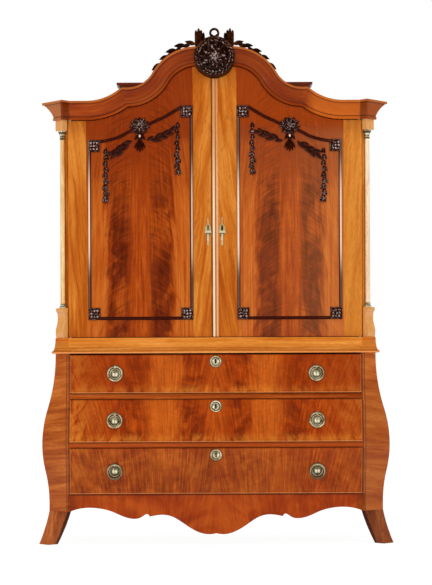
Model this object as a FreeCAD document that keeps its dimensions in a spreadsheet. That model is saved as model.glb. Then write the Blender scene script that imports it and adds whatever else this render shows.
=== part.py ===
import FreeCAD, Part
import math
import os
from types import SimpleNamespace
from FreeCAD import Placement, Rotation, Vector

doc = FreeCAD.newDocument("BombeCabinet")
sheet = doc.addObject("Spreadsheet::Sheet", "Sizes")

driving = {
    # Whole piece
    "carcase_depth": 560,
    "front_reach": 86.33,
    "overrun": 40,
    "seat_gap": 0.3,
    "flatness": 0.001,
    # Bombe base, from the floor up
    "foot_height": 162,
    "apron_band": 83,
    "bottom_opening": 226,
    "lower_rail": 23,
    "middle_opening": 209,
    "upper_rail": 25,
    "top_opening": 190,
    "top_clearance": 4,
    "base_half_width": 776,
    "corner_leg": 64,
    "side_board": 30,
    "back_board": 12,
    # Swelling of the front and sides
    "swell_straight": 7,
    "belly_height": 318,
    "belly_out": 67,
    "ankle_height": 38,
    "ankle_out": 33,
    "upper_hollow_share": 0.6,
    "lower_round_share": 0.446,
    # Frame between the drawers
    "stile_width": 10,
    "stile_recess": 12,
    "rail_recess": 6,
    "runner_width": 42,
    "runner_thickness": 18,
    "guide_height": 40,
    "dust_board": 16,
    # Apron
    "apron_thickness": 26,
    "apron_recess": 4,
    "apron_drop": 188.5,
    # Drawers
    "drawer_gap": 2.5,
    "drawer_end_gap": 3,
    "drawer_proud": 8,
    "drawer_front": 26,
    "drawer_side": 14,
    "drawer_bottom": 9,
    "drawer_back": 12,
    "drawer_edge_drop": 14,
    "drawer_rear_gap": 10,
    "edge_round": 4,
    # Feet
    "foot_face": 58,
    "foot_depth": 90,
    "foot_tip_face": 72,
    "foot_tip_depth": 57,
    "foot_splay": 39,
    "foot_drift": 25,
    "foot_sag_share": 0.4,
    "back_foot_width": 58,
    "back_foot_depth": 70,
    "back_foot_splay": 50,
    # Waist moulding
    "waist_height": 75,
    "waist_lip": 10,
    "waist_step": 2,
    "lip_overhang": 14,
    "lip_cant": 22,
    "ledge_inset": 1,
    "ledge_front": 20,
    "ledge_cant": 41,
    "waist_rim": 80,
    "base_top_board": 18,
    # Upper cabinet
    "upper_setback": 28,
    "upper_inset": 31,
    "case_height": 1053,
    "upper_side": 25,
    "upper_board": 18,
    "post_set": 10.9,
    "post_gap": 1.5,
    "post_depth": 45,
    "tympanum_tail": 10,
    "tympanum_cover": 70,
    "shelf_board": 20,
    "shelf_front": 62,
    "batten": 16,
    # Doors
    "door_thickness": 24,
    "door_back_gap": 1,
    "door_inset": 33,
    "door_lift": 4,
    "door_top_gap": 4,
    "meeting_line": -14,
    "meeting_gap": 2,
    "outer_stile": 90,
    "inner_stile_line": 106,
    "astragal_half": 15,
    "astragal_proud": 12,
    "pivot_radius": 5,
    "pivot_fit": 0.05,
    "pivot_length": 22,
    "pivot_flange": 9,
    "pivot_flange_height": 3,
    # Bead frame and carving on the doors
    "bead_radius": 8,
    "bead_margin": 16,
    "bead_inner_margin": 7.5,
    "bead_bottom": 94,
    "block_half": 29,
    "block_top_half": 22,
    "block_proud": 14,
    "block_inset": 22,
    "outer_block_drop": 126,
    "inner_block_rise": 42,
    "bead_end_rise": 26,
    "bead_top_rise": 16,
    "bead_sag": 13,
    "rosette_share": 0.5046,
    "rosette_drop": 41,
    "rosette_radius": 46,
    "rosette_proud": 20,
    "garland_drop": 394,
    "husk_length": 30,
    "husk_width": 19,
    "husk_proud": 9,
    # Arch and cornice
    "arch_inset": 4,
    "arch_rise": 260,
    "arch_crown_share": 0.42,
    "arch_joint_share": 0.681,
    "joint_rise": 63,
    "crown_flat": 82,
    "cornice_height": 86,
    "cornice_reach": 46,
    "cornice_core": 16,
    "cornice_fillet": 13,
    "cornice_bead_out": 9,
    "cornice_step": 6,
    "cornice_top_fillet": 11,
    "cavetto_sag": 7,
    # Diagonal columns
    "impost_out": 31,
    "impost_half": 28.3,
    "impost_height": 50,
    "bracket_height": 145,
    "column_radius": 12,
    "column_neck_radius": 10.6,
    "column_base_height": 22,
    "capital_height": 44,
    "capital_radius": 19,
    "column_base_radius": 16,
    # Crest
    "medallion_radius": 98,
    "medallion_rise": 40,
    "medallion_out": 46,
    "medallion_dome": 16,
    "medallion_gap": 3,
    "torch_place": 70,
    "torch_half": 22,
    "torch_out": 36,
    "torch_thickness": 30,
    "torch_low": 46,
    "torch_high": 139,
    "bow_radius": 18,
    "bow_wire": 5,
    "bow_height": 113,
    "spray_stem": 5,
    "spray_leaf_share": 1.268,
    "spray_leaf_width_share": 0.49,
    "spray_thickness": 12,
    "spray_out": 12,
    # Vase stands
    "stand_inner_share": 0.5388,
    "stand_outer_share": 0.7702,
    "stand_low": 146,
    "stand_high": 188,
    "stand_lip": 9,
    "stand_flare": 22,
    "stand_depth": 120,
    "stand_leg_inset": 30,
    # Brass of the drawers
    "pull_share": 0.6798,
    "plate_radius": 27,
    "plate_thickness": 3,
    "plate_dome": 9,
    "plate_sink": 2,
    "ring_radius": 34.5,
    "ring_wire": 4,
    "ring_stand": 10,
    "eye_fit": 0.55,
    "eye_radius": 8,
    "eye_width": 9,
    "shield_radius": 29,
    "shield_drop": 34,
    "keyhole_radius": 3.6,
    "keyhole_slot": 3.6,
    "keyhole_drop": 13,
    "keyhole_lift": 4.3,
    "lock_width": 80,
    "lock_height": 56,
    "lock_depth": 14,
    # Brass of the doors
    "plate_height": 130,
    "plate_width": 24,
    "plate_bulb": 15.5,
    "plate_bar": 8,
    "plate_sheet": 2.5,
    "door_plate_share": 0.48433,
    "door_plate_offset": 34,
    "door_lock_width": 84,
    "door_lock_height": 120,
    "bolt_width": 12,
    "bolt_thickness": 6,
    "bolt_length": 150,
    "bolt_inset": 30,
    "bolt_travel": 14,
    "bolt_clearance": 4,
    "bolt_fit": 0.3,
    "staple_height": 14,
    "staple_wall": 4,
    "bolt_knob": 5,
    "bolt_knob_out": 14,
}

for row, (alias, number) in enumerate(driving.items(), start=1):
    sheet.set(f"A{row}", alias)
    sheet.set(f"B{row}", str(number))
    sheet.setAlias(f"B{row}", alias)
doc.recompute()


# A size carries its number and the text that binds it to the sheet
class Size:
    def __init__(self, value, text):
        self.value = float(value)
        self.text = text

    def __float__(self):
        return self.value

    def __add__(self, other):
        other = as_size(other)
        return Size(self.value + other.value, f"({self.text} + {other.text})")

    def __sub__(self, other):
        other = as_size(other)
        return Size(self.value - other.value, f"({self.text} - {other.text})")

    def __mul__(self, other):
        other = as_size(other)
        return Size(self.value * other.value, f"({self.text} * {other.text})")

    def __truediv__(self, factor):
        return Size(self.value / factor, f"({self.text} / {factor})")

    def __neg__(self):
        return Size(-self.value, f"(0 - {self.text})")


def as_size(value):
    return value if isinstance(value, Size) else Size(value, repr(value))


s = SimpleNamespace(**{alias: Size(number, f"Sizes.{alias}") for alias, number in driving.items()})
mm = SimpleNamespace(**{alias: float(number) for alias, number in driving.items()})
zero = Size(0, "0")


# Sizes that follow from others
def follow(name, size):
    setattr(s, name, size)
    setattr(mm, name, size.value)


follow("opening_half_width", s.base_half_width - s.corner_leg)
follow("pull_place", s.opening_half_width * s.pull_share)
follow("upper_half_width", s.base_half_width - s.upper_inset)
follow("door_half_width", s.upper_half_width - s.door_inset)
follow("stile_line", s.door_half_width - s.outer_stile)
follow("arch_run", s.stile_line - s.arch_inset)
follow("arch_joint", s.arch_run * s.arch_joint_share)
follow("bead_outer", s.stile_line - s.bead_margin)
follow("bead_inner", s.inner_stile_line + s.bead_inner_margin)
follow("outer_block_height", s.case_height - s.outer_block_drop)
follow("inner_block_height", s.case_height + s.inner_block_rise)
follow("rosette_place", s.bead_inner + (s.bead_outer - s.bead_inner) * s.rosette_share)
follow("rosette_height", s.case_height - s.rosette_drop)
follow("door_plate_height", s.case_height * s.door_plate_share)
follow("stand_inner", s.arch_run * s.stand_inner_share)
follow("stand_outer", s.arch_run * s.stand_outer_share)

# Planes that the pieces share
back_plane = (s.carcase_depth + s.front_reach) / 2
front_plane = back_plane - s.carcase_depth
frame_back = front_plane + s.base_half_width - s.opening_half_width
door_plane = front_plane + s.upper_setback
stop_plane = door_plane + s.door_thickness + s.door_back_gap
post_back = door_plane + s.post_depth
base_lining = back_plane - s.back_board

bottom_low = s.foot_height + s.apron_band
bottom_high = bottom_low + s.bottom_opening
middle_low = bottom_high + s.lower_rail
middle_high = middle_low + s.middle_opening
top_low = middle_high + s.upper_rail
top_high = top_low + s.top_opening
base_top = top_high + s.top_clearance
case_low = base_top + s.waist_height
case_high = case_low + s.case_height
crown_low = case_high + s.arch_rise
medallion_centre = crown_low + s.medallion_rise

nodes = {}


# Document helpers
def bind(item, name, value):
    item.setExpression(name, as_size(value).text)


def node(label, item):
    item.Label = label
    nodes[label] = item
    return item


def board(label, x_span, y_span, z_span):
    item = doc.addObject("Part::Box", label)
    spans = zip(("Length", "Width", "Height"), "xyz", (x_span, y_span, z_span))
    for name, axis, (low, high) in spans:
        bind(item, name, as_size(high) - low)
        bind(item, f"Placement.Base.{axis}", low)
    return item


def cylinder(label, radius, height, base):
    item = doc.addObject("Part::Cylinder", label)
    bind(item, "Radius", radius)
    bind(item, "Height", height)
    for axis, value in zip("xyz", base):
        bind(item, f"Placement.Base.{axis}", value)
    return item


def boolean(kind, label, base, tool):
    item = doc.addObject(f"Part::{kind}", label)
    item.Base = base
    item.Tool = tool
    return item


def mirrored(label, source):
    item = doc.addObject("Part::Mirroring", label)
    item.Source = source
    item.Normal = Vector(1, 0, 0)
    return item


def group(label, members):
    item = doc.addObject("Part::Compound", label)
    item.Links = members
    return node(label, item)


def feature(label, shape):
    item = doc.addObject("Part::Feature", label)
    item.Shape = shape
    return item


# A closed outline: a plain step is a line to a point, a pair of points is an arc through the first
def loop(start, steps):
    geometry = []
    here = start
    for step in list(steps) + [start]:
        bent = isinstance(step[0], tuple)
        end = step[1] if bent else step
        corners = [Vector(*point, 0) for point in ((here, step[0], end) if bent else (here, end))]
        if corners[0].distanceToPoint(corners[-1]) > 0:
            geometry.append(Part.ArcOfCircle(*corners) if bent else Part.LineSegment(*corners))
        here = end
    return geometry


def sketch_on(body, plane, geometry):
    sketch = body.newObject("Sketcher::SketchObject", f"{body.Name}Sketch")
    support = [item for item in body.Origin.OriginFeatures if item.Role == f"{plane}_Plane"][0]
    sketch.AttachmentSupport = (support, [""])
    sketch.MapMode = "FlatFace"
    sketch.addGeometry(geometry, False)
    return sketch


# An XZ outline runs forward from its place, a YZ outline to the right and an XY outline upwards
def padded(label, plane, geometry, length, place, both_ways=False):
    body = doc.addObject("PartDesign::Body", label)
    pad = body.newObject("PartDesign::Pad", f"{label}Pad")
    pad.Profile = sketch_on(body, plane, geometry)
    pad.Midplane = both_ways
    bind(pad, "Length", length)
    axis = {"XZ": "y", "YZ": "x", "XY": "z"}[plane]
    bind(body, f"Placement.Base.{axis}", place)
    return body


# Last step of a turned outline: a round cap whose centre lies on the axis
def cap(start, top):
    rise = top - start[1]
    radius = (start[0] ** 2 + rise ** 2) / (2 * rise)
    half_turn = math.asin(start[0] / radius) / 2
    via = (radius * math.sin(half_turn), top - radius * (1 - math.cos(half_turn)))
    return via, (0, top)


# A turned piece: the outline is in radius and height
def turned(label, outline, placement):
    body = doc.addObject("PartDesign::Body", label)
    sketch = sketch_on(body, "XZ", outline)
    turn = body.newObject("PartDesign::Revolution", f"{label}Turn")
    turn.Profile = sketch
    turn.ReferenceAxis = (sketch, ["V_Axis"])
    turn.Angle = 360
    body.Placement = placement
    return body


facing_front = Rotation(Vector(1, 0, 0), 90)
diagonal = Rotation(Vector(0, 0, 1), -45)


# The swell: an upper and a lower ogee, each of two tangent arcs with upright ends
class Swell:
    def __init__(self, belly, ankle):
        self.top = float(base_top - s.swell_straight)
        self.belly_z = float(s.foot_height + s.belly_height)
        self.ankle_z = float(s.foot_height + s.ankle_height)
        self.belly = belly
        self.ankle = ankle
        self.upper = self.ogee(self.top - self.belly_z, belly, mm.upper_hollow_share)
        self.lower = self.ogee(self.belly_z - self.ankle_z, belly - ankle, mm.lower_round_share)

    def ogee(self, rise, step, first_share):
        both = (rise ** 2 + step ** 2) / (2 * step)
        first = first_share * both
        return first, both - first, first * rise / both

    def at(self, z):
        hollow, round_out, joint = self.upper
        low_round, low_hollow, low_joint = self.lower
        if z >= self.top:
            return 0.0
        if z >= self.top - joint:
            return hollow - math.sqrt(hollow ** 2 - (self.top - z) ** 2)
        if z >= self.belly_z:
            return self.belly - round_out + math.sqrt(round_out ** 2 - (z - self.belly_z) ** 2)
        if z >= self.belly_z - low_joint:
            return self.belly - low_round + math.sqrt(low_round ** 2 - (self.belly_z - z) ** 2)
        if z >= self.ankle_z:
            return self.ankle + low_hollow - math.sqrt(low_hollow ** 2 - (z - self.ankle_z) ** 2)
        return self.ankle

    def slope(self, z):
        nudge = mm.seat_gap
        return (self.at(z + nudge) - self.at(z - nudge)) / (2 * nudge)

    # Outline steps along the curve, where put turns an offset and a height into a point
    def steps(self, start, stop, put):
        upper_joint = self.top - self.upper[2]
        lower_joint = self.belly_z - self.lower[2]
        joints = (self.top, upper_joint, self.belly_z, lower_joint, self.ankle_z)
        inside = [z for z in joints if min(start, stop) < z < max(start, stop)]
        stops = sorted([start, stop] + inside, reverse=start > stop)
        steps = []
        for here, there in zip(stops, stops[1:]):
            middle = (here + there) / 2
            first, via, end = [put(self.at(z), z) for z in (here, middle, there)]
            bent = abs(via[0] * 2 - first[0] - end[0]) > mm.flatness
            steps.append((via, end) if bent else end)
        return steps


front_swell = Swell(mm.belly_out, mm.ankle_out)
corner_swell = Swell(mm.belly_out / math.sqrt(2), mm.ankle_out / math.sqrt(2))


# Outline between two heights: swelling outer face, then a swelling or a flat inner face
def swell_slab(swell, low, high, outer, inner):
    steps = swell.steps(high, low, outer)
    steps.append(inner(swell.at(low), low))
    steps += swell.steps(low, high, inner)
    return loop(outer(swell.at(high), high), steps)


def front_face(shift):
    plane = float(front_plane)
    return lambda swell, z: (plane - swell + shift, z)


def flat_back(plane):
    return lambda swell, z: (float(plane), z)


def side_face(shift):
    return lambda swell, z: (mm.base_half_width + swell - shift, z)


# Base: sides, back, corner posts
def base_carcase():
    low = mm.foot_height
    high = float(base_top)
    outline = swell_slab(front_swell, low, high, side_face(0), side_face(mm.side_board))
    right = padded("base_side_right", "XZ", outline, back_plane - frame_back, back_plane)
    node("base_side_right", right)
    node("base_side_left", mirrored("base_side_left", right))

    inner = side_face(mm.side_board)
    outline = swell_slab(front_swell, low, high, inner, lambda swell, z: (-inner(swell, z)[0], z))
    node("base_back", padded("base_back", "XZ", outline, s.back_board, back_plane))

    leg = mm.base_half_width - mm.opening_half_width
    depth = leg + mm.belly_out
    outline = swell_slab(
        corner_swell, low, high, lambda swell, z: (swell, z), lambda swell, z: (-depth, z))
    cant = doc.addObject("PartDesign::Body", "corner_cant")
    pad = cant.newObject("PartDesign::Pad", "corner_cantPad")
    pad.Profile = sketch_on(cant, "XZ", outline)
    pad.Midplane = True
    bind(pad, "Length", s.base_half_width)
    middle = Vector(mm.opening_half_width + leg / 2, float(front_plane) + leg / 2, 0)
    cant.Placement = Placement(middle, diagonal)
    x_span = (s.opening_half_width, s.base_half_width + s.belly_out + s.overrun)
    y_span = (front_plane - s.belly_out - s.overrun, frame_back)
    corner = board("corner_box", x_span, y_span, (s.foot_height, base_top))
    post = boolean("Common", "corner_post", cant, corner)
    outline = swell_slab(front_swell, low, high, front_face(mm.stile_recess), flat_back(frame_back))
    stile = padded("corner_stile", "YZ", outline, s.stile_width, s.opening_half_width - s.stile_width)
    right = group("base_post_right", [post, stile])
    node("base_post_left", mirrored("base_post_left", right))


stile_line = s.opening_half_width - s.stile_width


# Base: rails, runners, boards
def base_inside():
    spans = {"upper": (middle_high, top_low), "lower": (bottom_high, middle_low)}
    rails = []
    for name, (low, high) in spans.items():
        face = front_face(mm.rail_recess)
        outline = swell_slab(front_swell, float(low), float(high), face, flat_back(frame_back))
        rails.append(padded(f"drawer_rail_{name}", "YZ", outline, stile_line * 2, zero, both_ways=True))
    group("drawer_rails", rails)

    box_edge = stile_line - s.drawer_end_gap - s.drawer_gap
    guide_line = box_edge + s.seat_gap
    runners = []
    for name, low in (("bottom", bottom_low), ("middle", middle_low), ("top", top_low)):
        floor = float(low - s.runner_thickness)
        inner = float(stile_line - s.runner_width)
        outer = float(s.opening_half_width)
        guide = float(low + s.guide_height)
        step = float(guide_line)
        top = float(low)
        corners = [(outer, floor), (outer, guide), (step, guide), (step, top), (inner, top)]
        outline = loop((inner, floor), corners)
        runner = padded(f"runner_{name}", "XZ", outline, base_lining - frame_back, base_lining)
        runners += [runner, mirrored(f"runner_{name}_left", runner)]
    group("drawer_runners", runners)

    under = bottom_low - s.runner_thickness
    apron_back = front_plane - s.ankle_out + s.apron_recess + s.apron_thickness
    z_span = (under - s.dust_board, under)
    node("base_bottom", board("base_bottom", (-stile_line, stile_line), (apron_back, base_lining), z_span))


# Apron: lower edge as shares of the half width and of the drop, a lobe and a long outer curve
lobe_shares = ((0, 1), (0.142, 0.93), (0.219, 0.748), (0.296, 0.573), (0.353, 0.525), (0.41, 0.541))
cusp_shares = (0.4487, 0.5703)
wing_shares = (
    (0.463, 0.507), (0.507, 0.589), (0.554, 0.626), (0.621, 0.573),
    (0.698, 0.446), (0.794, 0.355), (0.87, 0.34), (0.939, 0.377),
)
wing_end_share = 0.438


def curve_through(shares, last):
    half = float(s.opening_half_width)
    points = [Vector(x * half, 0, float(bottom_low) - drop * mm.apron_drop) for x, drop in shares]
    curve = Part.BSplineCurve()
    curve.interpolate(points + [last])
    return curve.toShape()


def apron():
    half = float(s.opening_half_width)
    top = float(bottom_low - s.seat_gap)
    edge = float(stile_line)
    cusp = Vector(cusp_shares[0] * half, 0, float(bottom_low) - cusp_shares[1] * mm.apron_drop)
    end = Vector(edge, 0, float(bottom_low) - wing_end_share * mm.apron_drop)
    half_edge = [curve_through(lobe_shares, cusp), curve_through((cusp_shares,) + wing_shares, end)]
    other = [item.mirror(Vector(), Vector(1, 0, 0)) for item in half_edge]
    corners = [end, Vector(edge, 0, top), Vector(-edge, 0, top), Vector(-edge, 0, end.z)]
    lines = [Part.makeLine(here, there) for here, there in zip(corners, corners[1:])]
    face = Part.Face(Part.Wire(Part.__sortEdges__(half_edge + other + lines)))
    reach = mm.belly_out + mm.overrun
    face.translate(Vector(0, float(front_plane) - reach, 0))
    sheet_shape = feature("apron_outline", face.extrude(Vector(0, reach + mm.apron_thickness, 0)))
    back = front_plane - s.ankle_out + s.apron_recess + s.apron_thickness
    outline = swell_slab(front_swell, 0, top, front_face(mm.apron_recess), flat_back(back))
    slab = padded("apron_slab", "YZ", outline, s.base_half_width * 2, zero, both_ways=True)
    node("apron", boolean("Common", "apron", slab, sheet_shape))


# Feet: diagonal blocks that splay out along a hollow line, with sections at shares of the way down
foot_shares = (0, 0.35, 0.7, 1)


def feet():
    root = math.sqrt(0.5)
    leg = mm.base_half_width - mm.opening_half_width
    corner = Vector(mm.base_half_width + mm.ankle_out, float(front_plane) + leg, 0)
    outward = Vector(root, -root, 0)
    along = Vector(root, root, 0)

    def section(down_share):
        bend = down_share * (1 + mm.foot_sag_share * (down_share - 1))
        face = mm.foot_face + (mm.foot_tip_face - mm.foot_face) * down_share
        deep = mm.foot_depth + (mm.foot_tip_depth - mm.foot_depth) * down_share
        drift = along * (mm.foot_drift * bend - mm.foot_face / 2)
        middle = corner + outward * (mm.foot_splay * bend) + drift
        rear = middle - outward * deep
        half = along * (face / 2)
        points = [middle - half, middle + half, rear + half, rear - half, middle - half]
        wire = Part.makePolygon(points)
        wire.translate(Vector(0, 0, mm.foot_height * (1 - down_share)))
        return wire

    right = feature("foot_right", Part.makeLoft([section(share) for share in foot_shares], True, False))
    group("front_feet", [right, mirrored("foot_left", right)])

    side = s.base_half_width + s.ankle_out
    rear = doc.addObject("Part::Wedge", "back_foot_right")
    bind(rear, "Xmin", side - s.back_foot_width + s.back_foot_splay)
    bind(rear, "Xmax", side + s.back_foot_splay)
    bind(rear, "X2min", side - s.back_foot_width)
    bind(rear, "X2max", side)
    bind(rear, "Ymin", zero)
    bind(rear, "Ymax", s.foot_height)
    for name in ("Z", "Z2"):
        bind(rear, f"{name}min", zero)
        bind(rear, f"{name}max", s.back_foot_depth)
    rear.Placement = Placement(Vector(0, float(back_plane), 0), Rotation(Vector(1, 0, 0), 90))
    group("back_feet", [rear, mirrored("back_foot_left", rear)])


# Waist moulding: a hollow between the ledge outline and the lip outline, open at the back
hollow_turns = 6


def waist():
    def outline(half, front, cant, z):
        rear = float(back_plane)
        right = [(half, rear), (half, front + cant), (half - cant, front)]
        left = [(-x, y) for x, y in reversed(right)]
        points = [Vector(x, y, z) for x, y in right + left]
        return Part.makePolygon(points + points[:1])

    low = float(base_top)
    high = float(case_low)
    lip_half = mm.base_half_width + mm.lip_overhang
    lip_front = float(front_plane) - mm.lip_overhang
    ledge_half = mm.base_half_width - mm.ledge_inset
    ledge_front = float(door_plane) - mm.ledge_front
    hollow_low = low + mm.waist_lip

    def between(share, z):
        half = lip_half + (ledge_half - lip_half) * share
        front = lip_front + (ledge_front - lip_front) * share
        cant = mm.lip_cant + (mm.ledge_cant - mm.lip_cant) * share
        return outline(half, front, cant, z)

    step_share = mm.waist_step / mm.lip_overhang
    lip = Part.makeLoft([between(0, low), between(0, hollow_low)], True, True)
    levels = []
    for index in range(hollow_turns + 1):
        angle = math.pi / 2 * index / hollow_turns
        rise = (high - hollow_low) * (1 - math.cos(angle))
        levels.append(between(step_share + (1 - step_share) * math.sin(angle), hollow_low + rise))
    hollow = Part.makeLoft(levels, True, True)
    whole = lip.fuse(hollow).removeSplitter()
    inner = mm.base_half_width - mm.waist_rim
    front = float(door_plane) + mm.waist_rim
    depth = float(back_plane) - front + mm.overrun
    tall = high - low + 2 * mm.overrun
    well = Part.makeBox(2 * inner, depth, tall, Vector(-inner, front, low - mm.overrun))
    node("waist_moulding", feature("waist_moulding", whole.cut(well)))
    edge = s.base_half_width - s.waist_rim
    y_span = (door_plane + s.waist_rim, back_plane)
    z_span = (base_top, base_top + s.base_top_board)
    node("base_top", board("base_top", (-edge, edge), y_span, z_span))


# Drawers: curved front, box, brasses and ring pulls
drawer_spans = {
    "top": (top_low, top_high),
    "middle": (middle_low, middle_high),
    "bottom": (bottom_low, bottom_high),
}
brass_front = front_plane - s.belly_out - s.overrun
brass_back = front_plane + s.overrun


def drawer_front(name, low, high):
    bottom = float(low + s.drawer_gap)
    top = float(high - s.drawer_gap)
    outer = front_face(-mm.drawer_proud)
    inner = front_face(mm.drawer_front - mm.drawer_proud)
    soft = mm.edge_round
    steps = front_swell.steps(top - soft, bottom + soft, outer)
    corner_share = 1 - math.sqrt(0.5)
    low_y = outer(front_swell.at(bottom + soft), 0)[0]
    cut = soft * corner_share
    steps.append(((low_y + cut, bottom + cut), (low_y + soft, bottom)))
    steps.append(inner(front_swell.at(bottom), bottom))
    steps += front_swell.steps(bottom, top, inner)
    high_y = outer(front_swell.at(top - soft), 0)[0]
    steps.append((high_y + soft, top))
    steps.append(((high_y + cut, top - cut), (high_y, top - soft)))
    outline = loop((high_y, top - soft), steps)
    length = (stile_line - s.drawer_end_gap) * 2
    slab = padded(f"drawer_{name}_slab", "YZ", outline, length, zero, both_ways=True)
    key_z = top - mm.shield_drop + mm.keyhole_lift
    hole = keyhole(f"drawer_{name}_keyway", 0, key_z, brass_front, brass_back)
    node(f"drawer_{name}_front", boolean("Cut", f"drawer_{name}_front", slab, hole))
    clear = front_face(-mm.drawer_proud - mm.seat_gap)
    outline = swell_slab(front_swell, bottom, top, clear, inner)
    return slab, padded(f"drawer_{name}_seat", "YZ", outline, length, zero, both_ways=True)


# A keyhole from front to rear: a round with a slot below it
def keyhole(label, x, z, front, rear):
    deep = float(rear) - float(front)
    start = Vector(x, float(front), z)
    round_hole = Part.makeCylinder(mm.keyhole_radius, deep, start, Vector(0, 1, 0))
    corner = start - Vector(mm.keyhole_slot / 2, 0, mm.keyhole_drop)
    slot = Part.makeBox(mm.keyhole_slot, deep, mm.keyhole_drop, corner)
    return feature(label, round_hole.fuse(slot))


def drawer_box(name, low, high):
    edge = stile_line - s.drawer_end_gap - s.drawer_gap
    inside = edge - s.drawer_side
    floor = low + s.seat_gap
    top = high - s.drawer_edge_drop
    rear = base_lining - s.drawer_rear_gap
    inner = front_face(mm.drawer_front - mm.drawer_proud)
    outline = swell_slab(front_swell, float(floor), float(top), inner, flat_back(rear))
    side = padded(f"drawer_{name}_side", "YZ", outline, s.drawer_side, inside)
    lift = floor + s.drawer_bottom
    outline = swell_slab(front_swell, float(floor + s.seat_gap), float(lift), inner, flat_back(rear))
    bottom = padded(f"drawer_{name}_bottom", "YZ", outline, inside * 2, zero, both_ways=True)
    back = board(f"drawer_{name}_back", (-inside, inside), (rear - s.drawer_back, rear), (lift, top))
    group(f"drawer_{name}_box", [side, mirrored(f"drawer_{name}_side_left", side), bottom, back])


# Frame of a brass on the swelling front: its -Y points out of the wood
def on_front(x, z, tilt=True):
    angle = math.degrees(math.atan(front_swell.slope(z))) if tilt else 0
    surface = float(front_plane) - front_swell.at(z) - mm.drawer_proud
    return Placement(Vector(x, surface, z), Rotation(Vector(1, 0, 0), angle))


# Round plates: a raised rim, a hollow ring at a share of the radius, and a boss
plate_hollow_share = 0.62
plate_boss_shares = (0.5, 0.6)
lock_rise_share = 0.6


def plate_outline(radius, dome):
    rim = mm.plate_thickness
    boss = (radius * plate_boss_shares[0], dome * plate_boss_shares[1])
    return loop((0, -mm.plate_sink), [
        (radius, -mm.plate_sink),
        (radius, rim),
        (radius - rim, rim + rim / 2),
        ((radius * plate_hollow_share, rim / 2), boss),
        cap(boss, dome),
    ])


def pull_plate(name, side, x, z):
    place = on_front(x, z)
    upright = place.multiply(Placement(Vector(), facing_front))
    plate = turned(f"plate_{name}_{side}", plate_outline(mm.plate_radius, mm.plate_dome), upright)
    half = mm.eye_width / 2
    axis = Vector(-half, -mm.ring_stand, mm.ring_radius)
    knob = Part.makeCylinder(mm.eye_radius, mm.eye_width, axis, Vector(1, 0, 0))
    stem_low = Vector(-half, -mm.ring_stand, mm.ring_radius - mm.eye_radius)
    stem = Part.makeBox(mm.eye_width, mm.ring_stand + mm.plate_sink, 2 * mm.eye_radius, stem_low)
    start = axis - Vector(mm.overrun, 0, 0)
    long = mm.eye_width + 2 * mm.overrun
    bore = Part.makeCylinder(mm.ring_wire + mm.eye_fit, long, start, Vector(1, 0, 0))
    eye = feature(f"eye_{name}_{side}", knob.fuse(stem).cut(bore).removeSplitter())
    eye.Placement = place
    return boolean("Fuse", f"pull_{name}_{side}", plate, eye)


def ring_pull(name, side, x, z):
    ring = doc.addObject("Part::Torus", f"drawer_{name}_ring_{side}")
    bind(ring, "Radius1", s.ring_radius)
    bind(ring, "Radius2", s.ring_wire)
    place = on_front(x, z)
    eye = place.multVec(Vector(0, -mm.ring_stand, mm.ring_radius))
    leaning = front_swell.slope(z) < 0
    lean = place.Rotation if leaning else Rotation()
    centre = eye - lean.multVec(Vector(0, 0, mm.ring_radius))
    ring.Placement = Placement(centre, lean.multiply(facing_front))
    node(f"drawer_{name}_ring_{side}", ring)


def drawer_brasses(name, low, high, front, seat):
    middle = float(low + high) / 2
    pieces = []
    for side, x in (("left", -mm.pull_place), ("right", mm.pull_place)):
        pull = pull_plate(name, side, x, middle)
        pieces.append(boolean("Cut", f"seated_{name}_{side}", pull, seat))
        ring_pull(name, side, x, middle)
    key_z = float(high - s.drawer_gap - s.shield_drop)
    place = on_front(0, key_z).multiply(Placement(Vector(), facing_front))
    disc = turned(f"shield_{name}", plate_outline(mm.shield_radius, mm.plate_thickness * 2), place)
    hole = keyhole(f"shield_{name}_hole", 0, key_z + mm.keyhole_lift, brass_front, brass_back)
    pierced = boolean("Cut", f"shield_{name}_pierced", disc, hole)
    pieces.append(boolean("Cut", f"shield_{name}_seated", pierced, seat))
    sunk = mm.drawer_front / 2
    mid_wood = float(front_plane) - front_swell.at(key_z) - mm.drawer_proud + sunk
    corner = Vector(-mm.lock_width / 2, mid_wood, key_z - mm.lock_height * lock_rise_share)
    block = Part.makeBox(mm.lock_width, sunk + mm.lock_depth, mm.lock_height, corner)
    pieces.append(boolean("Cut", f"lock_{name}", feature(f"lock_{name}_block", block), front))
    group(f"drawer_{name}_brasses", pieces)


def drawers():
    for name, (low, high) in drawer_spans.items():
        front, seat = drawer_front(name, low, high)
        drawer_box(name, low, high)
        drawer_brasses(name, low, high, front, seat)


# Where two circles meet, each given by centre and radius: the point nearest to a third point
def crossing(first, first_reach, second, second_reach, near):
    apart = math.dist(first, second)
    along = (apart ** 2 + first_reach ** 2 - second_reach ** 2) / (2 * apart)
    off = math.sqrt(first_reach ** 2 - along ** 2)
    x, z = ((there - here) / apart for here, there in zip(first, second))
    foot = first[0] + x * along, first[1] + z * along
    points = [(foot[0] - z * off, foot[1] + x * off), (foot[0] + z * off, foot[1] - x * off)]
    return min(points, key=lambda point: math.dist(point, near))


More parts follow.
